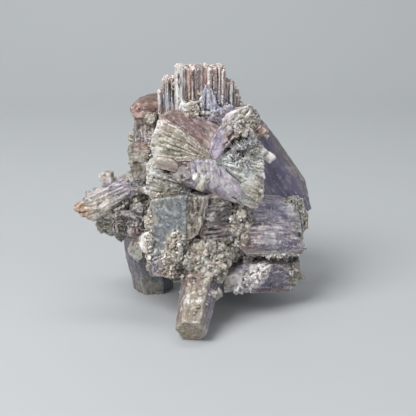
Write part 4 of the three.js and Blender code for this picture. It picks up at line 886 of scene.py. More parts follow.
def end_columns(bm, spec, length, dice):
    """Columns that break up the end face."""
    step = spec["lath"] * COLUMN_LATHS
    wide, thick = spec["wide"] - COLUMN_MARGIN, spec["thick"] - COLUMN_MARGIN
    across, deep = max(1, round(wide / step)), max(1, round(thick / step))
    for i, j in itertools.product(range(across), range(deep)):
        x = ((i + 0.5) / across - 0.5) * wide + dice.uniform(-COLUMN_SHIFT, COLUMN_SHIFT)
        y = ((j + 0.5) / deep - 0.5) * thick + dice.uniform(-COLUMN_SHIFT, COLUMN_SHIFT)
        slant = spec["thick"] * SLANT_SHARE * max(0, abs(x) / (spec["wide"] / 2) - 0.5) * 2
        if abs(y) > spec["thick"] / 2 - COLUMN_RIM - slant:
            continue
        turn = Matrix.Rotation(dice.uniform(-COLUMN_TURN, COLUMN_TURN), 4, "Z")
        end = length + spec["rag"] * dice.uniform(*COLUMN_ENDS)
        size = (step * dice.uniform(*COLUMN_SIZES), step * dice.uniform(*COLUMN_SIZES))
        upright_box(bm, Matrix.Translation((x, y, 0)) @ turn, size, length - COLUMN_DEPTH, end)


def build_crystal(group, spec, number):
    """A bundle of laths around a core, with a broken end. number seeds its random draws."""
    spec = USUAL | spec
    dice = random.Random(number + 1)
    bm = bmesh.new()
    place = crystal_frame(spec["root"], spec["tip"], spec["face"])
    length = (Vector(spec["tip"]) - Vector(spec["root"])).length
    core(bm, spec["wide"] - spec["rough"], spec["thick"] - spec["rough"], length - CORE_SHORT * spec["rag"])
    side_laths(bm, spec, length, dice)
    end_columns(bm, spec, length, dice)
    for v in bm.verts:
        if v.co.z > length / 2:
            v.co.z += spec["slant"][0] * v.co.x + spec["slant"][1] * v.co.y
        grow = spec["swell"] + (1 - spec["swell"]) * min(1, max(0, v.co.z / length))
        v.co = place @ Vector((v.co.x * grow, v.co.y * grow, v.co.z))
    group.take(bm, dict(spec, place=place, length=length))


# ---- the crown ----

RIB_PART = 1.1  # the usual width of a part of a rib
RIB_CUT = 0.25  # how far the cuts between a rib's parts shift, as a share of a part
RIB_OVERLAP = 0.5
RIB_TOPS = (-0.6, 0.2)
RIB_FRONTS = (-0.1, 0.3)
CROWN_SEED = 101


def build_crown(group):
    """The crown's front ribs, cut into parts of uneven width and colour, and its columns behind them."""
    dice = random.Random(CROWN_SEED)
    rights = [rib[0] for rib in CROWN_RIBS[1:]] + [CROWN_RIGHT]
    for (left, top, near, hue), right in zip(CROWN_RIBS, rights):
        whole = hue == FROST
        parts = 1 if whole else max(1, round((right - left) / RIB_PART))
        cuts = [0] + [(part + dice.uniform(-RIB_CUT, RIB_CUT)) / parts for part in range(1, parts)] + [1]
        for part in range(parts):
            start = left + (right - left) * cuts[part]
            end = left + (right - left) * cuts[part + 1] + RIB_OVERLAP
            tone = dice.choice((hue, MAROON, BROWN_GREY, ROSE, MAROON))
            tone = hue if part == 0 or whole else tone
            tip = top + (dice.uniform(*RIB_TOPS) if part else 0)
            crown_column(group, start, end, tip, near + dice.uniform(*RIB_FRONTS), CROWN_FRONT_FAR, tone, dice)
    for left, right, top, near, far in CROWN_BACK:
        crown_column(group, left, right, top, near, far, dice.choice((MAROON, RUST, LILAC)), dice)


def crown_column(group, left, right, top, near, far, hue, dice):
    """One upright column of the crown, made of laths with ragged tops."""
    middle = ((left + right) / 2, (near + far) / 2)
    spec = dict(CROWN_COLUMN, wide=far - near, thick=right - left, hues=(hue,),
                root=(*middle, CROWN_FLOOR), tip=(*middle, top))
    build_crystal(group, spec, dice.randrange(10000))


# ---- lumps, knobs and swarms ----

KNOB_SEED = 202
KNOB_CRUST = 0.45
KNOB_SQUASH = (0.7, 0.95)
KNOB_LEAN = 0.15
KNOB_TAPER = (0.7, 1)
FULL_TURN = 6.3  # in radians
SWARM_LEAN = 0.7


def build_heart(group, centre, half, hue):
    """A rounded lump that fills the middle."""
    bm = bmesh.new()
    bmesh.ops.create_icosphere(bm, subdivisions=2, radius=1,
                               matrix=Matrix.Translation(centre) @ Matrix.Diagonal((*half, 1)))
    group.take(bm, dict(lump=hue))


def small_crystal(group, centre, long, wide, along, hue, dice):
    """A stubby six-sided crystal."""
    turn = Matrix.Rotation(dice.uniform(0, FULL_TURN), 4, "Z")
    place = Matrix.Translation(Vector(centre)) @ (Vector(along).to_track_quat("Z", "Y").to_matrix().to_4x4() @ turn)
    squash = Matrix.Diagonal((1, dice.uniform(*KNOB_SQUASH), 1, 1))
    lean = Matrix.Shear("XY", 4, (dice.uniform(-KNOB_LEAN, KNOB_LEAN), dice.uniform(-KNOB_LEAN, KNOB_LEAN)))
    bm = bmesh.new()
    bmesh.ops.create_cone(bm, cap_ends=True, segments=6, radius1=wide / 2,
                          radius2=wide / 2 * dice.uniform(*KNOB_TAPER), depth=long, matrix=place @ squash @ lean)
    group.take(bm, USUAL | dict(place=place, length=long, wide=wide, swell=1, crusted=KNOB_CRUST,
                                hues=(hue,), near_root=hue, near_tip=hue))


def rays(middle, direction, spread, count, dice):
    """Random starts of parallel lines inside an ellipse around middle, and the lines' direction."""
    inward = Vector(direction).normalized()
    helper = Vector((0, 1, 0)) if abs(inward.z) > 0.9 else Vector((0, 0, 1))
    sideways = helper.cross(inward).normalized()
    upward = inward.cross(sideways)
    for _ in range(count):
        angle, reach = dice.uniform(0, 2 * math.pi), math.sqrt(dice.random())
        start = Vector(middle) + sideways * (spread[0] * reach * math.cos(angle))
        yield start + upward * (spread[1] * reach * math.sin(angle)), inward


def build_swarm(groups, tree, swarm):
    """A swarm's crystals, each standing where its line meets the shapes in tree."""
    name, middle, direction, spread, count, lengths, widths, hues, seed = swarm
    dice = random.Random(seed)
    for start, inward in rays(middle, direction, spread, count, dice):
        spot, normal, _, _ = tree.ray_cast(start, inward)
        long, wide, hue = dice.uniform(*lengths), dice.uniform(*widths), dice.choice(hues)
        lean = jitter(dice, SWARM_LEAN)
        if spot is not None:
            small_crystal(groups[name], spot, long, wide, normal + lean, hue, dice)


# ---- meshes as arrays ----

def remeshed(bm, grid, name):
    """One closed skin around everything in bm, on a fine grid. Works in millimetres."""
    rough = new_object(name + "_rough", new_mesh(name, bm))
    remesh = rough.modifiers.new("skin", "REMESH")
    remesh.mode = "VOXEL"
    remesh.voxel_size = grid
    ready = rough.evaluated_get(bpy.context.evaluated_depsgraph_get())
    skin = bpy.data.meshes.new_from_object(ready)
    bpy.data.objects.remove(rough)
    skin.name = name
    return skin


def mesh_points(skin):
    """The mesh's vertices, one to a row."""
    flat = np.empty(3 * len(skin.vertices), dtype=np.float32)
    skin.vertices.foreach_get("co", flat)
    return flat.reshape(-1, 3).astype(np.float64)


def mesh_edges(skin):
    """The numbers of the two vertices of each edge."""
    flat = np.empty(2 * len(skin.edges), dtype=np.int32)
    skin.edges.foreach_get("vertices", flat)
    return flat.reshape(-1, 2)


def move_points(skin, points):
    """Put the mesh's vertices at points."""
    skin.vertices.foreach_set("co", points.astype(np.float32).ravel())
    skin.update()


def mesh_normals(skin, points):
    """The vertex normals that the mesh has with its vertices at points."""
    move_points(skin, points)
    flat = np.empty(3 * len(points), dtype=np.float32)
    skin.vertex_normals.foreach_get("vector", flat)
    return flat.reshape(-1, 3).astype(np.float64)


def spread_out(values, edges, rounds):
    """Average values with their neighbours along the edges, several times over."""
    ends = np.concatenate([edges, edges[:, ::-1]])
    count = np.bincount(ends[:, 0], minlength=len(values))[:, None].clip(1)
    for _ in range(rounds):
        total = np.stack([
            np.bincount(ends[:, 0], weights=values[ends[:, 1], column], minlength=len(values))
            for column in range(values.shape[1])
        ], axis=1)
        values = total / count
    return values


def sunk(points, edges, normals, rounds):
    """How far each point lies below the surface once that is smoothed, so less than 0 on the edges."""
    return ((spread_out(points, edges, rounds) - points) * normals).sum(axis=1)


# ---- the painting of the crystals ----

FAN_REACH = 13  # how far from a fan's root its ledges have their true width
FAN_WAIST = 4  # a fan's corners that are closer to its root don't count for its spread
FAN_FLAT = 7  # from how far out a fan's ledges have their full height
FAN_LOWEST = 0.15  # the share of it that they have at the root

HUE_WANDER = ((2.5, 5, 0.08),)  # how the borders between the hues wander, as shares of the width
END_WANDER = ((3, 9, 0.12), (1.1, 10, 0.06))  # and those of the root's and the tip's colour, of the length
PLAIN_STREAKS = 0.6  # how banded a crystal's colour is where it has no value for streaky
BAND_WAVES = (0.9, 0.9, 0.04)  # a band's waves in a millimetre across, through and along the crystal
BAND_SEED = 7
BAND_DEPTH, BAND_GAIN = 0.35, 1.6  # how much lighter and darker the bands are, and how soon that is at its full
PALE_FROM, PALE_SLOPE, PALE_COVER = 0.35, 0.3, 0.35  # where the bands turn creamy, and how much
ROOT_SLOPE = 0.35  # over what share of the length the root's colour fades
TIP_FROM, TIP_SLOPE, TIP_COVER = 0.9, 0.12, 0.75  # where the tip's colour starts, and how much it covers
STAIN_EDGE, STAIN_SLOPE, STAIN_BREAK = 0.9, 0.3, 0.45  # how a stain ends, and how broken up that is
STAIN_SPECKLE = ((1.5, 21, 1), (0.7, 22, 1.2))
COLOUR_ROUNDS, FIELD_ROUNDS = 8, 4  # rounds of smoothing over the borders between crystals

LUMP_FINISH = (0.3, 0.2, 0.4)  # how streaky, how glassy, and how frosted and glinting the crust is
LUMP_CRUST = 0.9
OWNER_SHIFT = 17.3  # what keeps the patterns of two crystals apart


def ramp(stops, where):
    """The colour at each place from 0 to 1 along evenly spaced stops."""
    at = np.linspace(0, 1, len(stops))
    return np.stack([np.interp(where, at, [stop[channel] for stop in stops]) for channel in range(3)], axis=1)


def grain_of(owner, points):
    """Each point's place along the crystal's grain in millimetres, and as a share of its width and its length."""
    inverse = np.array(owner["place"].inverted())
    local = points @ inverse[:3, :3].T + inverse[:3, 3]
    along = (local[:, 2] / owner["length"]).clip(0, 1)
    if "corners" not in owner:
        grow = owner["swell"] + (1 - owner["swell"]) * along
        strand = np.stack([local[:, 0] / grow, local[:, 1] / grow, local[:, 2]], axis=1)
        return strand, strand[:, 0] / owner["wide"] + 0.5, along
    ends = np.array([owner["place"].inverted() @ Vector(corner) for corner in owner["corners"]])
    if not owner["fan"]:
        left, right = ends[:, 0].min(), ends[:, 0].max()
        return local, (local[:, 0] - left) / (right - left), along
    radius = np.hypot(local[:, 0], local[:, 2])
    angle = np.arctan2(local[:, 0], local[:, 2])
    outer = ends[np.hypot(ends[:, 0], ends[:, 2]) > FAN_WAIST]
    turns = np.arctan2(outer[:, 0], outer[:, 2])
    strand = np.stack([angle * FAN_REACH, local[:, 1], radius], axis=1)
    return strand, (angle - turns.min()) / (turns.max() - turns.min()), radius / owner["length"]


def paint_crystal(owner, points):
    """Each point's colour, and its place along the crystal's grain."""
    strand, place, along = grain_of(owner, points)
    across = owner["place"].col[0]
    upward = across.z if abs(across.z) > 0.5 else across.x
    place = place if upward > 0 else 1 - place
    colour = ramp(owner["hues"], (place + waves(points, HUE_WANDER)).clip(0, 1))
    bands = lattice_noise(strand * np.array(BAND_WAVES), BAND_SEED)
    banded = min(1, BAND_GAIN * owner.get("streaky", PLAIN_STREAKS))
    colour = colour * (1 + BAND_DEPTH * banded * bands)[:, None]
    colour = blended(colour, CREAM, sloped(bands - PALE_FROM, PALE_SLOPE) * PALE_COVER * banded)
    wander = waves(points, END_WANDER)
    colour = blended(colour, owner["near_root"], sloped(owner["fade"] - along + wander, ROOT_SLOPE))
    colour = blended(colour, owner["near_tip"], sloped(along - TIP_FROM + wander, TIP_SLOPE) * TIP_COVER)
    # light scales the colours: partly the crystal's own lightness, partly painted light and painted shade for how
    # the lamps fall on it
    return colour * owner["light"], strand


def stained(points, colour):
    """The colours with the stains, frosted places, painted highlights and painted shade laid over them, broken up at
    their edges.
    """
    speckle = waves(points, STAIN_SPECKLE)
    for middle, reach, hue, strength in STAINS:
        distance = np.linalg.norm(points - np.array(middle), axis=1) / reach
        cover = sloped(STAIN_EDGE - distance + STAIN_BREAK * speckle, STAIN_SLOPE)
        colour = blended(colour, hue, cover * strength)
    return colour


class Cover:
    """What each point of a group's skin gets from the crystal or lump that it lies on."""

    def __init__(self, group, points, edges):
        tree = BVHTree.FromBMesh(group.bm)
        owner_of_point = np.array([group.owner_of_face[tree.find_nearest(Vector(p))[2]] for p in points])
        self.colour = np.zeros((len(points), 3))
        self.strand = points.copy()
        self.worn, self.step, self.pitch, self.crusted = np.ones((4, len(points)))
        self.finish = np.zeros((len(points), 3))
        for number in np.unique(owner_of_point):
            self.take(group.owners[number], number, points, owner_of_point == number)
        self.colour = stained(points, spread_out(self.colour, edges, COLOUR_ROUNDS))
        self.crusted = spread_out(self.crusted[:, None], edges, FIELD_ROUNDS)[:, 0]
        self.finish = spread_out(self.finish, edges, FIELD_ROUNDS)

    def take(self, owner, number, points, mine):
        """Fill in the points that are mine, which lie on one crystal or lump."""
        if "lump" in owner:
            self.colour[mine] = owner["lump"]
            self.step[mine] = 0
            self.crusted[mine] = LUMP_CRUST
            self.finish[mine] = LUMP_FINISH
            return
        self.colour[mine], strand = paint_crystal(owner, points[mine])
        self.worn[mine] = owner["worn"]
        self.step[mine] = owner["step"]
        if owner["fan"]:
            self.step[mine] *= (strand[:, 2] / FAN_FLAT).clip(FAN_LOWEST, 1)
        self.strand[mine] = strand * np.array([1, 1, owner["even"]]) + number * OWNER_SHIFT
        self.pitch[mine] = owner["pitch"]
        self.crusted[mine] = owner["crusted"]
        usual = zip(("streaky", "glassy", "frost_and_glint"), LUMP_FINISH)
        self.finish[mine] = [owner.get(field, share) for field, share in usual]


# ---- the carving of the skins ----

SWELLS = ((3.6, 31, 0.3), (1.8, 32, 0.12))  # the wear of the edges
CHIPS = ((2, 41, 0.3), (0.95, 51, 0.18))  # crust: width, seed and height of its facets
CHIPS_DOWN = 0.1  # how far crust sinks as a whole
CHIPS_ON_WORN, CHIPS_ON_CRUST = 0.14, 0.86
PIT_FADE = 1.3  # how far out a pit goes, in reaches
PIT_PATCH, PIT_SEED, PIT_OPEN, PIT_SLOPE = 0.9, 61, 0.1, 0.3  # its holes: their width and seed, how many, how steep
ALONG_GRAIN = (1, 1, 0.05)  # the ledges and grooves are stretched along the grain
GROOVE_WAVES, FINE_WAVES, CRUST_WAVES = 1.4, 2.8, 1.2  # grooves, fine grooves and lumps of crust in a millimetre
GROOVE_DEPTH, FINE_DEPTH, LEDGE_DOWN = 0.6, 0.45, 0.2  # as shares of step
CRUST_DEPTH = 0.15
LEDGE_SEED, GROOVE_SEED, FINE_SEED, CRUST_SEED = 2, 3, 4, 6
LEDGE_LEVELS = 2.5
LEDGE_REST, LEDGE_CLIMB = 0.3, 0.4  # the shares of a ledge that are level before its slope, and sloped
FINE_ROUNDS, WIDE_ROUNDS = 3, 14  # rounds of smoothing that show up edges, and whole ridges and hollows
FINE_BEND, WIDE_BEND = 0.12, 0.5  # how far a full edge and a full ridge stand out


def grown_together(skin, points, edges, rounds):
    """Fill the creases between the crystals, as where they grew into each other."""
    for _ in range(rounds):
        normals = mesh_normals(skin, points)
        points = points + normals * sunk(points, edges, normals, FINE_ROUNDS).clip(0, None)[:, None]
    return points


def eroded(points, edges, normals, cover):
    """Wear down the straight edges with swells a few millimetres wide, and break up the crust with small facets."""
    swell = waves(points, SWELLS) * cover.worn
    chips = sum(facets(points / wide, seed) * high for wide, seed, high in CHIPS) - CHIPS_DOWN
    for middle, reach, deep in PITS:
        near = (PIT_FADE - np.linalg.norm(points - np.array(middle), axis=1) / reach).clip(0, 1)
        swell = swell - deep * near * sloped(lattice_noise(points / PIT_PATCH, PIT_SEED) + PIT_OPEN, PIT_SLOPE)
    height = swell + chips * (CHIPS_ON_WORN * cover.worn + CHIPS_ON_CRUST * cover.crusted)
    return points + spread_out(normals, edges, FINE_ROUNDS) * height[:, None]


def ledges(values):
    """Values from -1 to 1 gathered into flat levels with short slopes between."""
    climbed = values * LEDGE_LEVELS
    floor = np.floor(climbed)
    return (floor + eased(sloped(climbed - floor - LEDGE_REST, LEDGE_CLIMB))) / LEDGE_LEVELS


def carved(points, normals, cover):
    """Cut ledges and grooves along the grain, and roughen the crust."""
    strand = cover.strand * np.array(ALONG_GRAIN)
    shelves = ledges(lattice_noise(strand / cover.pitch[:, None], LEDGE_SEED))
    grooves = lattice_noise(strand * GROOVE_WAVES, GROOVE_SEED)
    fine = lattice_noise(strand * FINE_WAVES, FINE_SEED)
    lumps = lattice_noise(points * CRUST_WAVES, CRUST_SEED)
    height = cover.step * (shelves - LEDGE_DOWN + GROOVE_DEPTH * grooves + FINE_DEPTH * fine)
    return points + normals * (height + CRUST_DEPTH * cover.crusted * lumps)[:, None]


def finish_piece(group, name, grid):
    """The fine mesh of a group: skinned, worn, carved along the grain, coloured, and made a piece.

    Gives its points in millimetres, its polygons, and how far each point stands out."""
    skin = remeshed(group.bm, grid, name)
    points, edges = mesh_points(skin), mesh_edges(skin)
    cover = Cover(group, points, edges)
    points = grown_together(skin, points, edges, CREASE_ROUNDS.get(name, USUAL_CREASE_ROUNDS))
    points = eroded(points, edges, mesh_normals(skin, points), cover)
    points = in_box(carved(points, mesh_normals(skin, points), cover))
    normals = mesh_normals(skin, points)
    bend = -sunk(points, edges, normals, FINE_ROUNDS)
    wide_bend = -sunk(points, edges, normals, WIDE_ROUNDS)
    move_points(skin, points * MM)
    skin.shade_smooth()
    dress(skin, name, cover.colour, cover.strand, (bend / FINE_BEND).clip(-1, 1),
          (wide_bend / WIDE_BEND).clip(-1, 1), cover.crusted.clip(0, 1), cover.finish)
    return points, [tuple(polygon.vertices) for polygon in skin.polygons], wide_bend


def dress(mesh, name, colour, strand, edge, rise, crusted, finish):
    """Make the mesh a piece of the stone, with the fields that its material reads."""
    tint = np.concatenate([colour, np.ones((len(colour), 1))], axis=1)
    for field, kind, slot, values in (
        ("tint", "FLOAT_COLOR", "color", tint),
        ("strand", "FLOAT_VECTOR", "vector", strand * MM),
        ("edge", "FLOAT", "value", edge),
        ("rise", "FLOAT", "value", rise),
        ("crusted", "FLOAT", "value", crusted),
        ("finish", "FLOAT_VECTOR", "vector", finish),
    ):
        mesh.attributes.new(field, kind, "POINT").data.foreach_set(slot, values.astype(np.float32).ravel())
    piece = new_object(name, mesh)
    mesh.materials.append(STONE)
    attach(piece, "root")
    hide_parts(NODE)


# ---- the grains of the crust ----

GRAIN_SHAPES = ((4, 0.9), (5, 0.8), (6, 0.85), (4, 0.6), (6, 0.45), (5, 0.3))  # sides, and tip for a foot of 1
GRAIN_RADIUS = 0.55
GRAIN_UNEVEN = 0.09
GRAIN_SLANT = 0.35
GRAIN_LEAN = 0.75
GRAIN_SQUASH = (0.6, 1)
GRAIN_LENGTHS = (0.7, 1.4)
GRAIN_LIGHTS = (0.85, 1.25)
GRAIN_UP = 0.05  # how far a grain's middle stands over the stone, as a share of its length
GRAIN_TIP, GRAIN_FOOT = 0.3, -0.6  # how much of an edge and a hollow its ends are: the tip takes the edges' frost, the foot the painted shade of the hollows
GRAIN_CRUST = 0.6
GRAIN_SHIFT = 0.37  # what keeps the patterns of two grains apart, for each point before them


def grain_shapes(dice):
    """A few small sharp crystals, each as its points and polygons. They are 1 wide and 1 long."""
    shapes = []
    for sides, tip in GRAIN_SHAPES:
        bm = bmesh.new()
        bmesh.ops.create_cone(bm, cap_ends=True, segments=sides, radius1=GRAIN_RADIUS, radius2=GRAIN_RADIUS * tip,
                              depth=1)
        slant = dice.uniform(-GRAIN_SLANT, GRAIN_SLANT)
        for v in bm.verts:
            v.co += jitter(dice, GRAIN_UNEVEN)
            if v.co.z > 0:
                v.co.z += slant * v.co.x
        shapes.append((np.array([v.co for v in bm.verts]), [[v.index for v in f.verts] for f in bm.faces]))
        bm.free()
    return shapes


def build_grains(name, patches, tree, bend_of_face):
    """One mesh of all the grains that belong to a piece, where their lines meet the skins in tree."""
    points, faces, colours, strands, bends = [], [], [], [], []
    before = 0
    for middle, direction, spread, count, widths, slim, hollow, hues, seed in patches:
        dice = random.Random(seed)
        shapes = grain_shapes(dice)
        for start, inward in rays(middle, direction, spread, count, dice):
            spot, normal, face, _ = tree.ray_cast(start, inward)
            wide = dice.uniform(*widths)
            size = np.array([wide, wide * dice.uniform(*GRAIN_SQUASH), wide * slim * dice.uniform(*GRAIN_LENGTHS)])
            lean = jitter(dice, GRAIN_LEAN)
            shape, polygons = dice.choice(shapes)
            hue = np.array(dice.choice(hues)) * dice.uniform(*GRAIN_LIGHTS)
            turn = dice.uniform(0, FULL_TURN)
            if spot is None or bend_of_face[face] > hollow:
                continue
            turned = (normal + lean).to_track_quat("Z", "Y").to_matrix() @ Matrix.Rotation(turn, 3, "Z")
            local = shape * size
            points.append(local @ np.array(turned).T + np.array(spot + normal * (size[2] * GRAIN_UP)))
            strands.append(local + seed + before * GRAIN_SHIFT)
            colours.append(np.tile(hue, (len(shape), 1)))
            bends.append(np.where(shape[:, 2] > 0, GRAIN_TIP, GRAIN_FOOT))
            faces += [[index + before for index in polygon] for polygon in polygons]
            before += len(shape)
    mesh = bpy.data.meshes.new(name)
    mesh.from_pydata((in_box(np.concatenate(points)) * MM).tolist(), [], faces)
    bends = np.concatenate(bends)
    dress(mesh, name, np.concatenate(colours), np.concatenate(strands), bends, bends * 0, bends * 0 + GRAIN_CRUST,
          np.tile(LUMP_FINISH, (len(bends), 1)))


# ---- shader expressions ----

class Value:
    """A shader socket that can stand in a sum."""

    def __init__(self, board, socket):
        self.board, self.socket = board, socket

    def math(self, operation, *others):
        """What a Math node makes of this and the others."""
        return self.board.node("ShaderNodeMath", {"operation": operation}, dict(enumerate((self, *others))))[0]

    def __add__(self, other):
        return self.math("ADD", other)

    def __radd__(self, other):
        return self.math("ADD", other)

    def __sub__(self, other):
        return self.math("SUBTRACT", other)

    def __rsub__(self, other):
        return (self * -1) + other

    def __mul__(self, other):
        return self.math("MULTIPLY", other)

    def __rmul__(self, other):
        return self.math("MULTIPLY", other)

    def clamp(self):
        """The same, but never below 0 or above 1."""
        return self.board.node("ShaderNodeClamp", {}, {"Value": self})["Result"]

    def between(self, low, high):
        """0 below low and 1 above high, with a soft step between. Where low is the larger, it goes down."""
        return self.board.node("ShaderNodeMapRange", {"interpolation_type": "SMOOTHSTEP"},
                               {"Value": self, "From Min": low, "From Max": high})["Result"]


class Outputs:
    """The outputs of a node, by their names or numbers."""

    def __init__(self, board, made):
        self.board, self.made = board, made

    def __getitem__(self, key):
        return Value(self.board, self.made.outputs[key])


MIX_FACTOR, MIX_FIRST, MIX_SECOND, MIX_RESULT = 0, 6, 7, 2  # a Mix node's sockets for colours


class Board:
    """A material's nodes."""

    def __init__(self, name):
        self.material = bpy.data.materials.new(name)
        self.material.use_nodes = True
        self.tree = self.material.node_tree
        self.tree.nodes.clear()

    def node(self, kind, settings, inputs):
        """A new node with its settings, and with a value or a link in each of the inputs."""
        made = self.tree.nodes.new(kind)
        for key, value in settings.items():
            setattr(made, key, value)
        for key, value in inputs.items():
            socket = made.inputs[key]
            if isinstance(value, Value):
                self.tree.links.new(value.socket, socket)
            else:
                socket.default_value = value
        return Outputs(self, made)

    def mix(self, factor, first, second, blend="MIX"):
        """The first colour, with the second over it as far as factor says."""
        first, second = [hue if isinstance(hue, Value) else (*hue, 1) for hue in (first, second)]
        made = self.node("ShaderNodeMix", {"data_type": "RGBA", "blend_type": blend},
                         {MIX_FACTOR: factor, MIX_FIRST: first, MIX_SECOND: second})
        return made[MIX_RESULT]

    def shadow(self, colour):
        """A darker and warmer tone of the same colour."""
        return self.mix(1, colour, SHADE, "MULTIPLY")

    def field(self, name):
        """One of the fields that the pieces are dressed with."""
        return self.node("ShaderNodeAttribute", {"attribute_name": name}, {})

    def vectors(self, operation, first, second):
        """What a Vector Math node makes of two vectors."""
        return self.node("ShaderNodeVectorMath", {"operation": operation}, {0: first, 1: second})

    def noise(self, vector, scale, detail, roughness):
        """A noise texture from 0 to 1, with scale waves in a metre."""
        return self.node("ShaderNodeTexNoise", {}, {
            "Vector": vector, "Scale": scale, "Detail": detail, "Roughness": roughness,
        })["Fac"]

    def surface(self, inputs):
        """Give the material a Principled shader with these inputs."""
        shader = self.node("ShaderNodeBsdfPrincipled", {}, inputs)["BSDF"]
        self.node("ShaderNodeOutputMaterial", {}, {"Surface": shader})


# ---- the stone's material ----

LONG_GRAIN = (1, 1, 0.07)  # how streaks are stretched along the grain
SHORT_GRAIN = (1, 1, 0.4)  # and flecks and chips
STREAKS, BROAD_STREAKS = (1500, 4, 0.65), (420, 3, 0.5)  # these five: waves in a metre, detail and roughness
GRAIN, CLOUDS, FLECKS = (1700, 4, 0.7), (160, 4, 0.6), (1100, 5, 0.75)
CHIPS_IN_METRE = 1100
BUMP_STRENGTH, BUMP_HEIGHT = 0.7, 0.0003
REFRACTION = 1.6


def stone_material():
    """Aragonite: streaked and flecked colours, painted shade in the hollows, painted glints and frosted edges."""
    board = Board("aragonite")
    tint = board.field("tint")["Color"]
    edge, rise, crusted = [board.field(name)["Fac"] for name in ("edge", "rise", "crusted")]
    strand = board.field("strand")["Vector"]
    finish = board.node("ShaderNodeSeparateXYZ", {}, {"Vector": board.field("finish")["Vector"]})
    streaky, glassy, frost_and_glint = finish["X"], finish["Y"], finish["Z"]
    rough = 1 - glassy * 0.6
    sparkle = 0.1 + frost_and_glint * 1.6

    place = board.node("ShaderNodeTexCoord", {}, {})["Object"]
    grain = board.noise(place, *GRAIN)
    cloud = board.noise(place, *CLOUDS)
    stretched = board.vectors("MULTIPLY", strand, LONG_GRAIN)["Vector"]
    streaks = board.noise(stretched, *STREAKS)
    broad = board.noise(stretched, *BROAD_STREAKS)
    short = board.vectors("MULTIPLY", strand, SHORT_GRAIN)["Vector"]
    fleck = board.noise(short, *FLECKS)
    broken = streaks * 0.55 + fleck * 0.45

    # chips: little flat facets, each with a tone and a tilt of its own
    chips = board.node("ShaderNodeTexVoronoi", {}, {"Vector": short, "Scale": CHIPS_IN_METRE, "Randomness": 1})
    chip = board.node("ShaderNodeSeparateXYZ", {}, {"Vector": chips["Color"]})["X"]
    tilt = board.vectors("SUBTRACT", chips["Color"], (0.5, 0.5, 0.5))["Vector"]
    from_middle = board.vectors("SUBTRACT", short, chips["Position"])["Vector"]
    facet = board.vectors("DOT_PRODUCT", tilt, from_middle)["Value"]

    # streaks along the grain: violet, white (partly painted highlights along the striations) and dark
    colour = board.mix(broad.between(0.42, 0.64) * 0.25 * streaky, tint, VIOLET)
    colour = board.mix(broken.between(0.53, 0.59) * streaky * 0.9, colour, FROST)
    colour = board.mix(broken.between(0.48, 0.41) * streaky * 0.95, colour, board.shadow(colour))
    # clouds, most of all in the crust
    colour = board.mix(cloud.between(0.5, 0.66) * (0.04 + frost_and_glint * 0.14 + crusted * 0.5), colour, CREAM)
    colour = board.mix(cloud.between(0.47, 0.36) * (0.04 + frost_and_glint * 0.12 + crusted * 0.5), colour, BROWN_GREY)
    # dark and pale chips, white flecks that are partly painted glints, dark flecks, then painted glints where glassy
    colour = board.mix(chip.between(0.5, 1) * rough * 0.4, colour, board.shadow(colour))
    colour = board.mix(chip.between(0.3, 0) * rough * 0.25, colour, FROST)
    colour = board.mix(fleck.between(0.58, 0.63) * rough * sparkle * (0.5 + crusted * 0.35), colour, FROST)
    colour = board.mix(fleck.between(0.43, 0.37) * rough * (0.55 + crusted * 0.2), colour, board.shadow(colour))
    colour = board.mix(fleck.between(0.6, 0.64) * glassy * frost_and_glint * 2, colour, FROST)
    # painted shade in the hollows and creases, and frost on the edges
    hollow_shade = (rise * -1).between(0.05, 0.6) * 0.55 + (edge * -1).between(0.15, 0.8) * 0.55
    colour = board.mix(hollow_shade.clamp(), colour, board.shadow(colour))
    colour = board.mix(edge.between(0.08, 0.5) * grain.between(0.4, 0.58) * frost_and_glint, colour, FROST)

    height = streaks * 0.5 + grain * 0.4 + chip * 0.25 + facet * 2000
    bump = board.node("ShaderNodeBump", {}, {
        "Strength": BUMP_STRENGTH, "Distance": BUMP_HEIGHT, "Height": height,
    })["Normal"]
    gloss = 0.3 - glassy * 0.18 + grain.between(0.3, 0.7) * 0.15 + crusted * 0.15
    board.surface({"Base Color": colour, "Roughness": gloss, "Normal": bump, "IOR": REFRACTION})
    return board.material


STONE = stone_material()


# ---- the stone ----

def rough_groups():
    """The rough shape of every group, without its swarms."""
    groups = {name: Group() for name in GROUPS}
    for name, specs in BLOCKS.items():
        for spec in specs:
            build_block(groups[name], spec)
    for number, spec in enumerate(CRYSTALS):
        build_crystal(groups[spec["group"]], spec, number)
    build_crown(groups["crown"])
    for name, centre, half, hue in HEARTS:
        build_heart(groups[name], centre, half, hue)
    dice = random.Random(KNOB_SEED)
    for name, centre, long, wide, along, hue in KNOBS:
        small_crystal(groups[name], centre, long, wide, along, hue, dice)
    return groups


def whole_tree(groups):
    """The shapes of all the groups together, for lines to meet."""
    whole = bmesh.new()
    for group in groups.values():
        pour(group.bm, whole)
    tree = BVHTree.FromBMesh(whole)
    whole.free()
    return tree


def build_stone():
    """The groups' pieces, and the grains on them."""
    groups = rough_groups()
    bare = whole_tree(groups)
    for swarm in SWARMS:
        build_swarm(groups, bare, swarm)
    points, faces, bends = [], [], []
    for name, grid in GROUPS.items():
        piece_points, polygons, piece_bends = finish_piece(groups[name], name, grid)
        shift = len(points)
        points += piece_points.tolist()
        bends += piece_bends.tolist()
        faces += [[index + shift for index in polygon] for polygon in polygons]
    skins = BVHTree.FromPolygons(points, faces)
    bend_of_face = [bends[face[0]] for face in faces]
    for name, patches in GRAINS.items():
        build_grains(name, patches, skins, bend_of_face)


# ---- the studio ----

FLOOR_HALF = 1.5
WALL_AT, WALL_HEIGHT = 0.55, 1.2  # how far behind the stone the floor turns up, and how high it goes
SWEEP, SWEEP_SEGMENTS = 0.25, 16  # the round between floor and wall
CLOSE = 1e-4

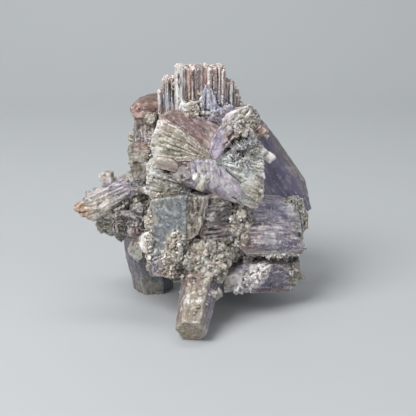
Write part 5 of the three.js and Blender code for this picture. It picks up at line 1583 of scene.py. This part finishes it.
CAMERA_PLACE = (0.0038, -0.266, 0.109)
CAMERA_DOWN = 16.9  # how far it looks down, in degrees
CAMERA_LENS, CAMERA_SENSOR, CAMERA_NEAR = 82.2, 36, 0.01

# Lights: name, place, what they point at, width and height, watts and colour.
LIGHTS = [
    ("window", (-0.28, -0.29, 0.5), (0, 0, 0.03), (0.36, 0.36), 3.95, (1, 1, 1)),
    ("fill", (0.5, -0.35, 0.25), (0, 0, 0.03), (0.5, 0.4), 0.55, (0.95, 0.97, 1)),
    ("wall", (0, 0.1, 0.75), (0, 0.55, 0.15), (0.8, 0.2), 1.8, (0.96, 0.98, 1)),
]
ROOM_COLOUR, ROOM_STRENGTH = (0.8, 0.83, 0.86, 1), 0.28


def studio():
    """A pale floor that sweeps up into a wall behind the stone."""
    bm = bmesh.new()
    bmesh.ops.create_grid(bm, x_segments=1, y_segments=1, size=FLOOR_HALF)
    back = [e for e in bm.edges if all(v.co.y > FLOOR_HALF - CLOSE for v in e.verts)]
    for v in {v for e in back for v in e.verts}:
        v.co.y = WALL_AT
    wall = bmesh.ops.extrude_edge_only(bm, edges=back)["geom"]
    for v in (made for made in wall if isinstance(made, bmesh.types.BMVert)):
        v.co.z = WALL_HEIGHT
    corner = [e for e in bm.edges if all(abs(v.co.y - WALL_AT) < CLOSE and v.co.z < CLOSE for v in e.verts)]
    bmesh.ops.bevel(bm, geom=corner, offset=SWEEP, affect="EDGES", segments=SWEEP_SEGMENTS, profile=0.5, material=-1)
    mesh = new_mesh("floor", bm)
    bm.free()
    mesh.shade_smooth()
    floor = new_object("floor", mesh)
    board = Board("floor")
    board.surface({"Base Color": (*shade("bcbfc1"), 1), "Roughness": 0.6})
    mesh.materials.append(board.material)


def camera():
    """The camera in front of the stone, a little above it."""
    data = bpy.data.cameras.new("camera")
    data.sensor_width = CAMERA_SENSOR
    data.lens = CAMERA_LENS
    data.clip_start = CAMERA_NEAR
    eye = new_object("camera", data)
    eye.location = CAMERA_PLACE
    eye.rotation_euler = (math.radians(90 - CAMERA_DOWN), 0, 0)
    bpy.context.scene.camera = eye


def area_light(name, place, target, size, watts, colour):
    """A soft rectangular lamp."""
    data = bpy.data.lights.new(name, "AREA")
    data.shape = "RECTANGLE"
    data.size, data.size_y = size
    data.energy = watts
    data.color = colour
    lamp = new_object(name, data)
    lamp.location = place
    lamp.rotation_euler = (Vector(target) - Vector(place)).to_track_quat("-Z", "Y").to_euler()


def room():
    """The even light from all around."""
    world = bpy.data.worlds.new("room")
    world.use_nodes = True
    background = world.node_tree.nodes["Background"].inputs
    background["Color"].default_value = ROOM_COLOUR
    background["Strength"].default_value = ROOM_STRENGTH
    bpy.context.scene.world = world


build_stone()
studio()
camera()
for light in LIGHTS:
    area_light(*light)
room()
bpy.context.scene.view_settings.view_transform = "Standard"
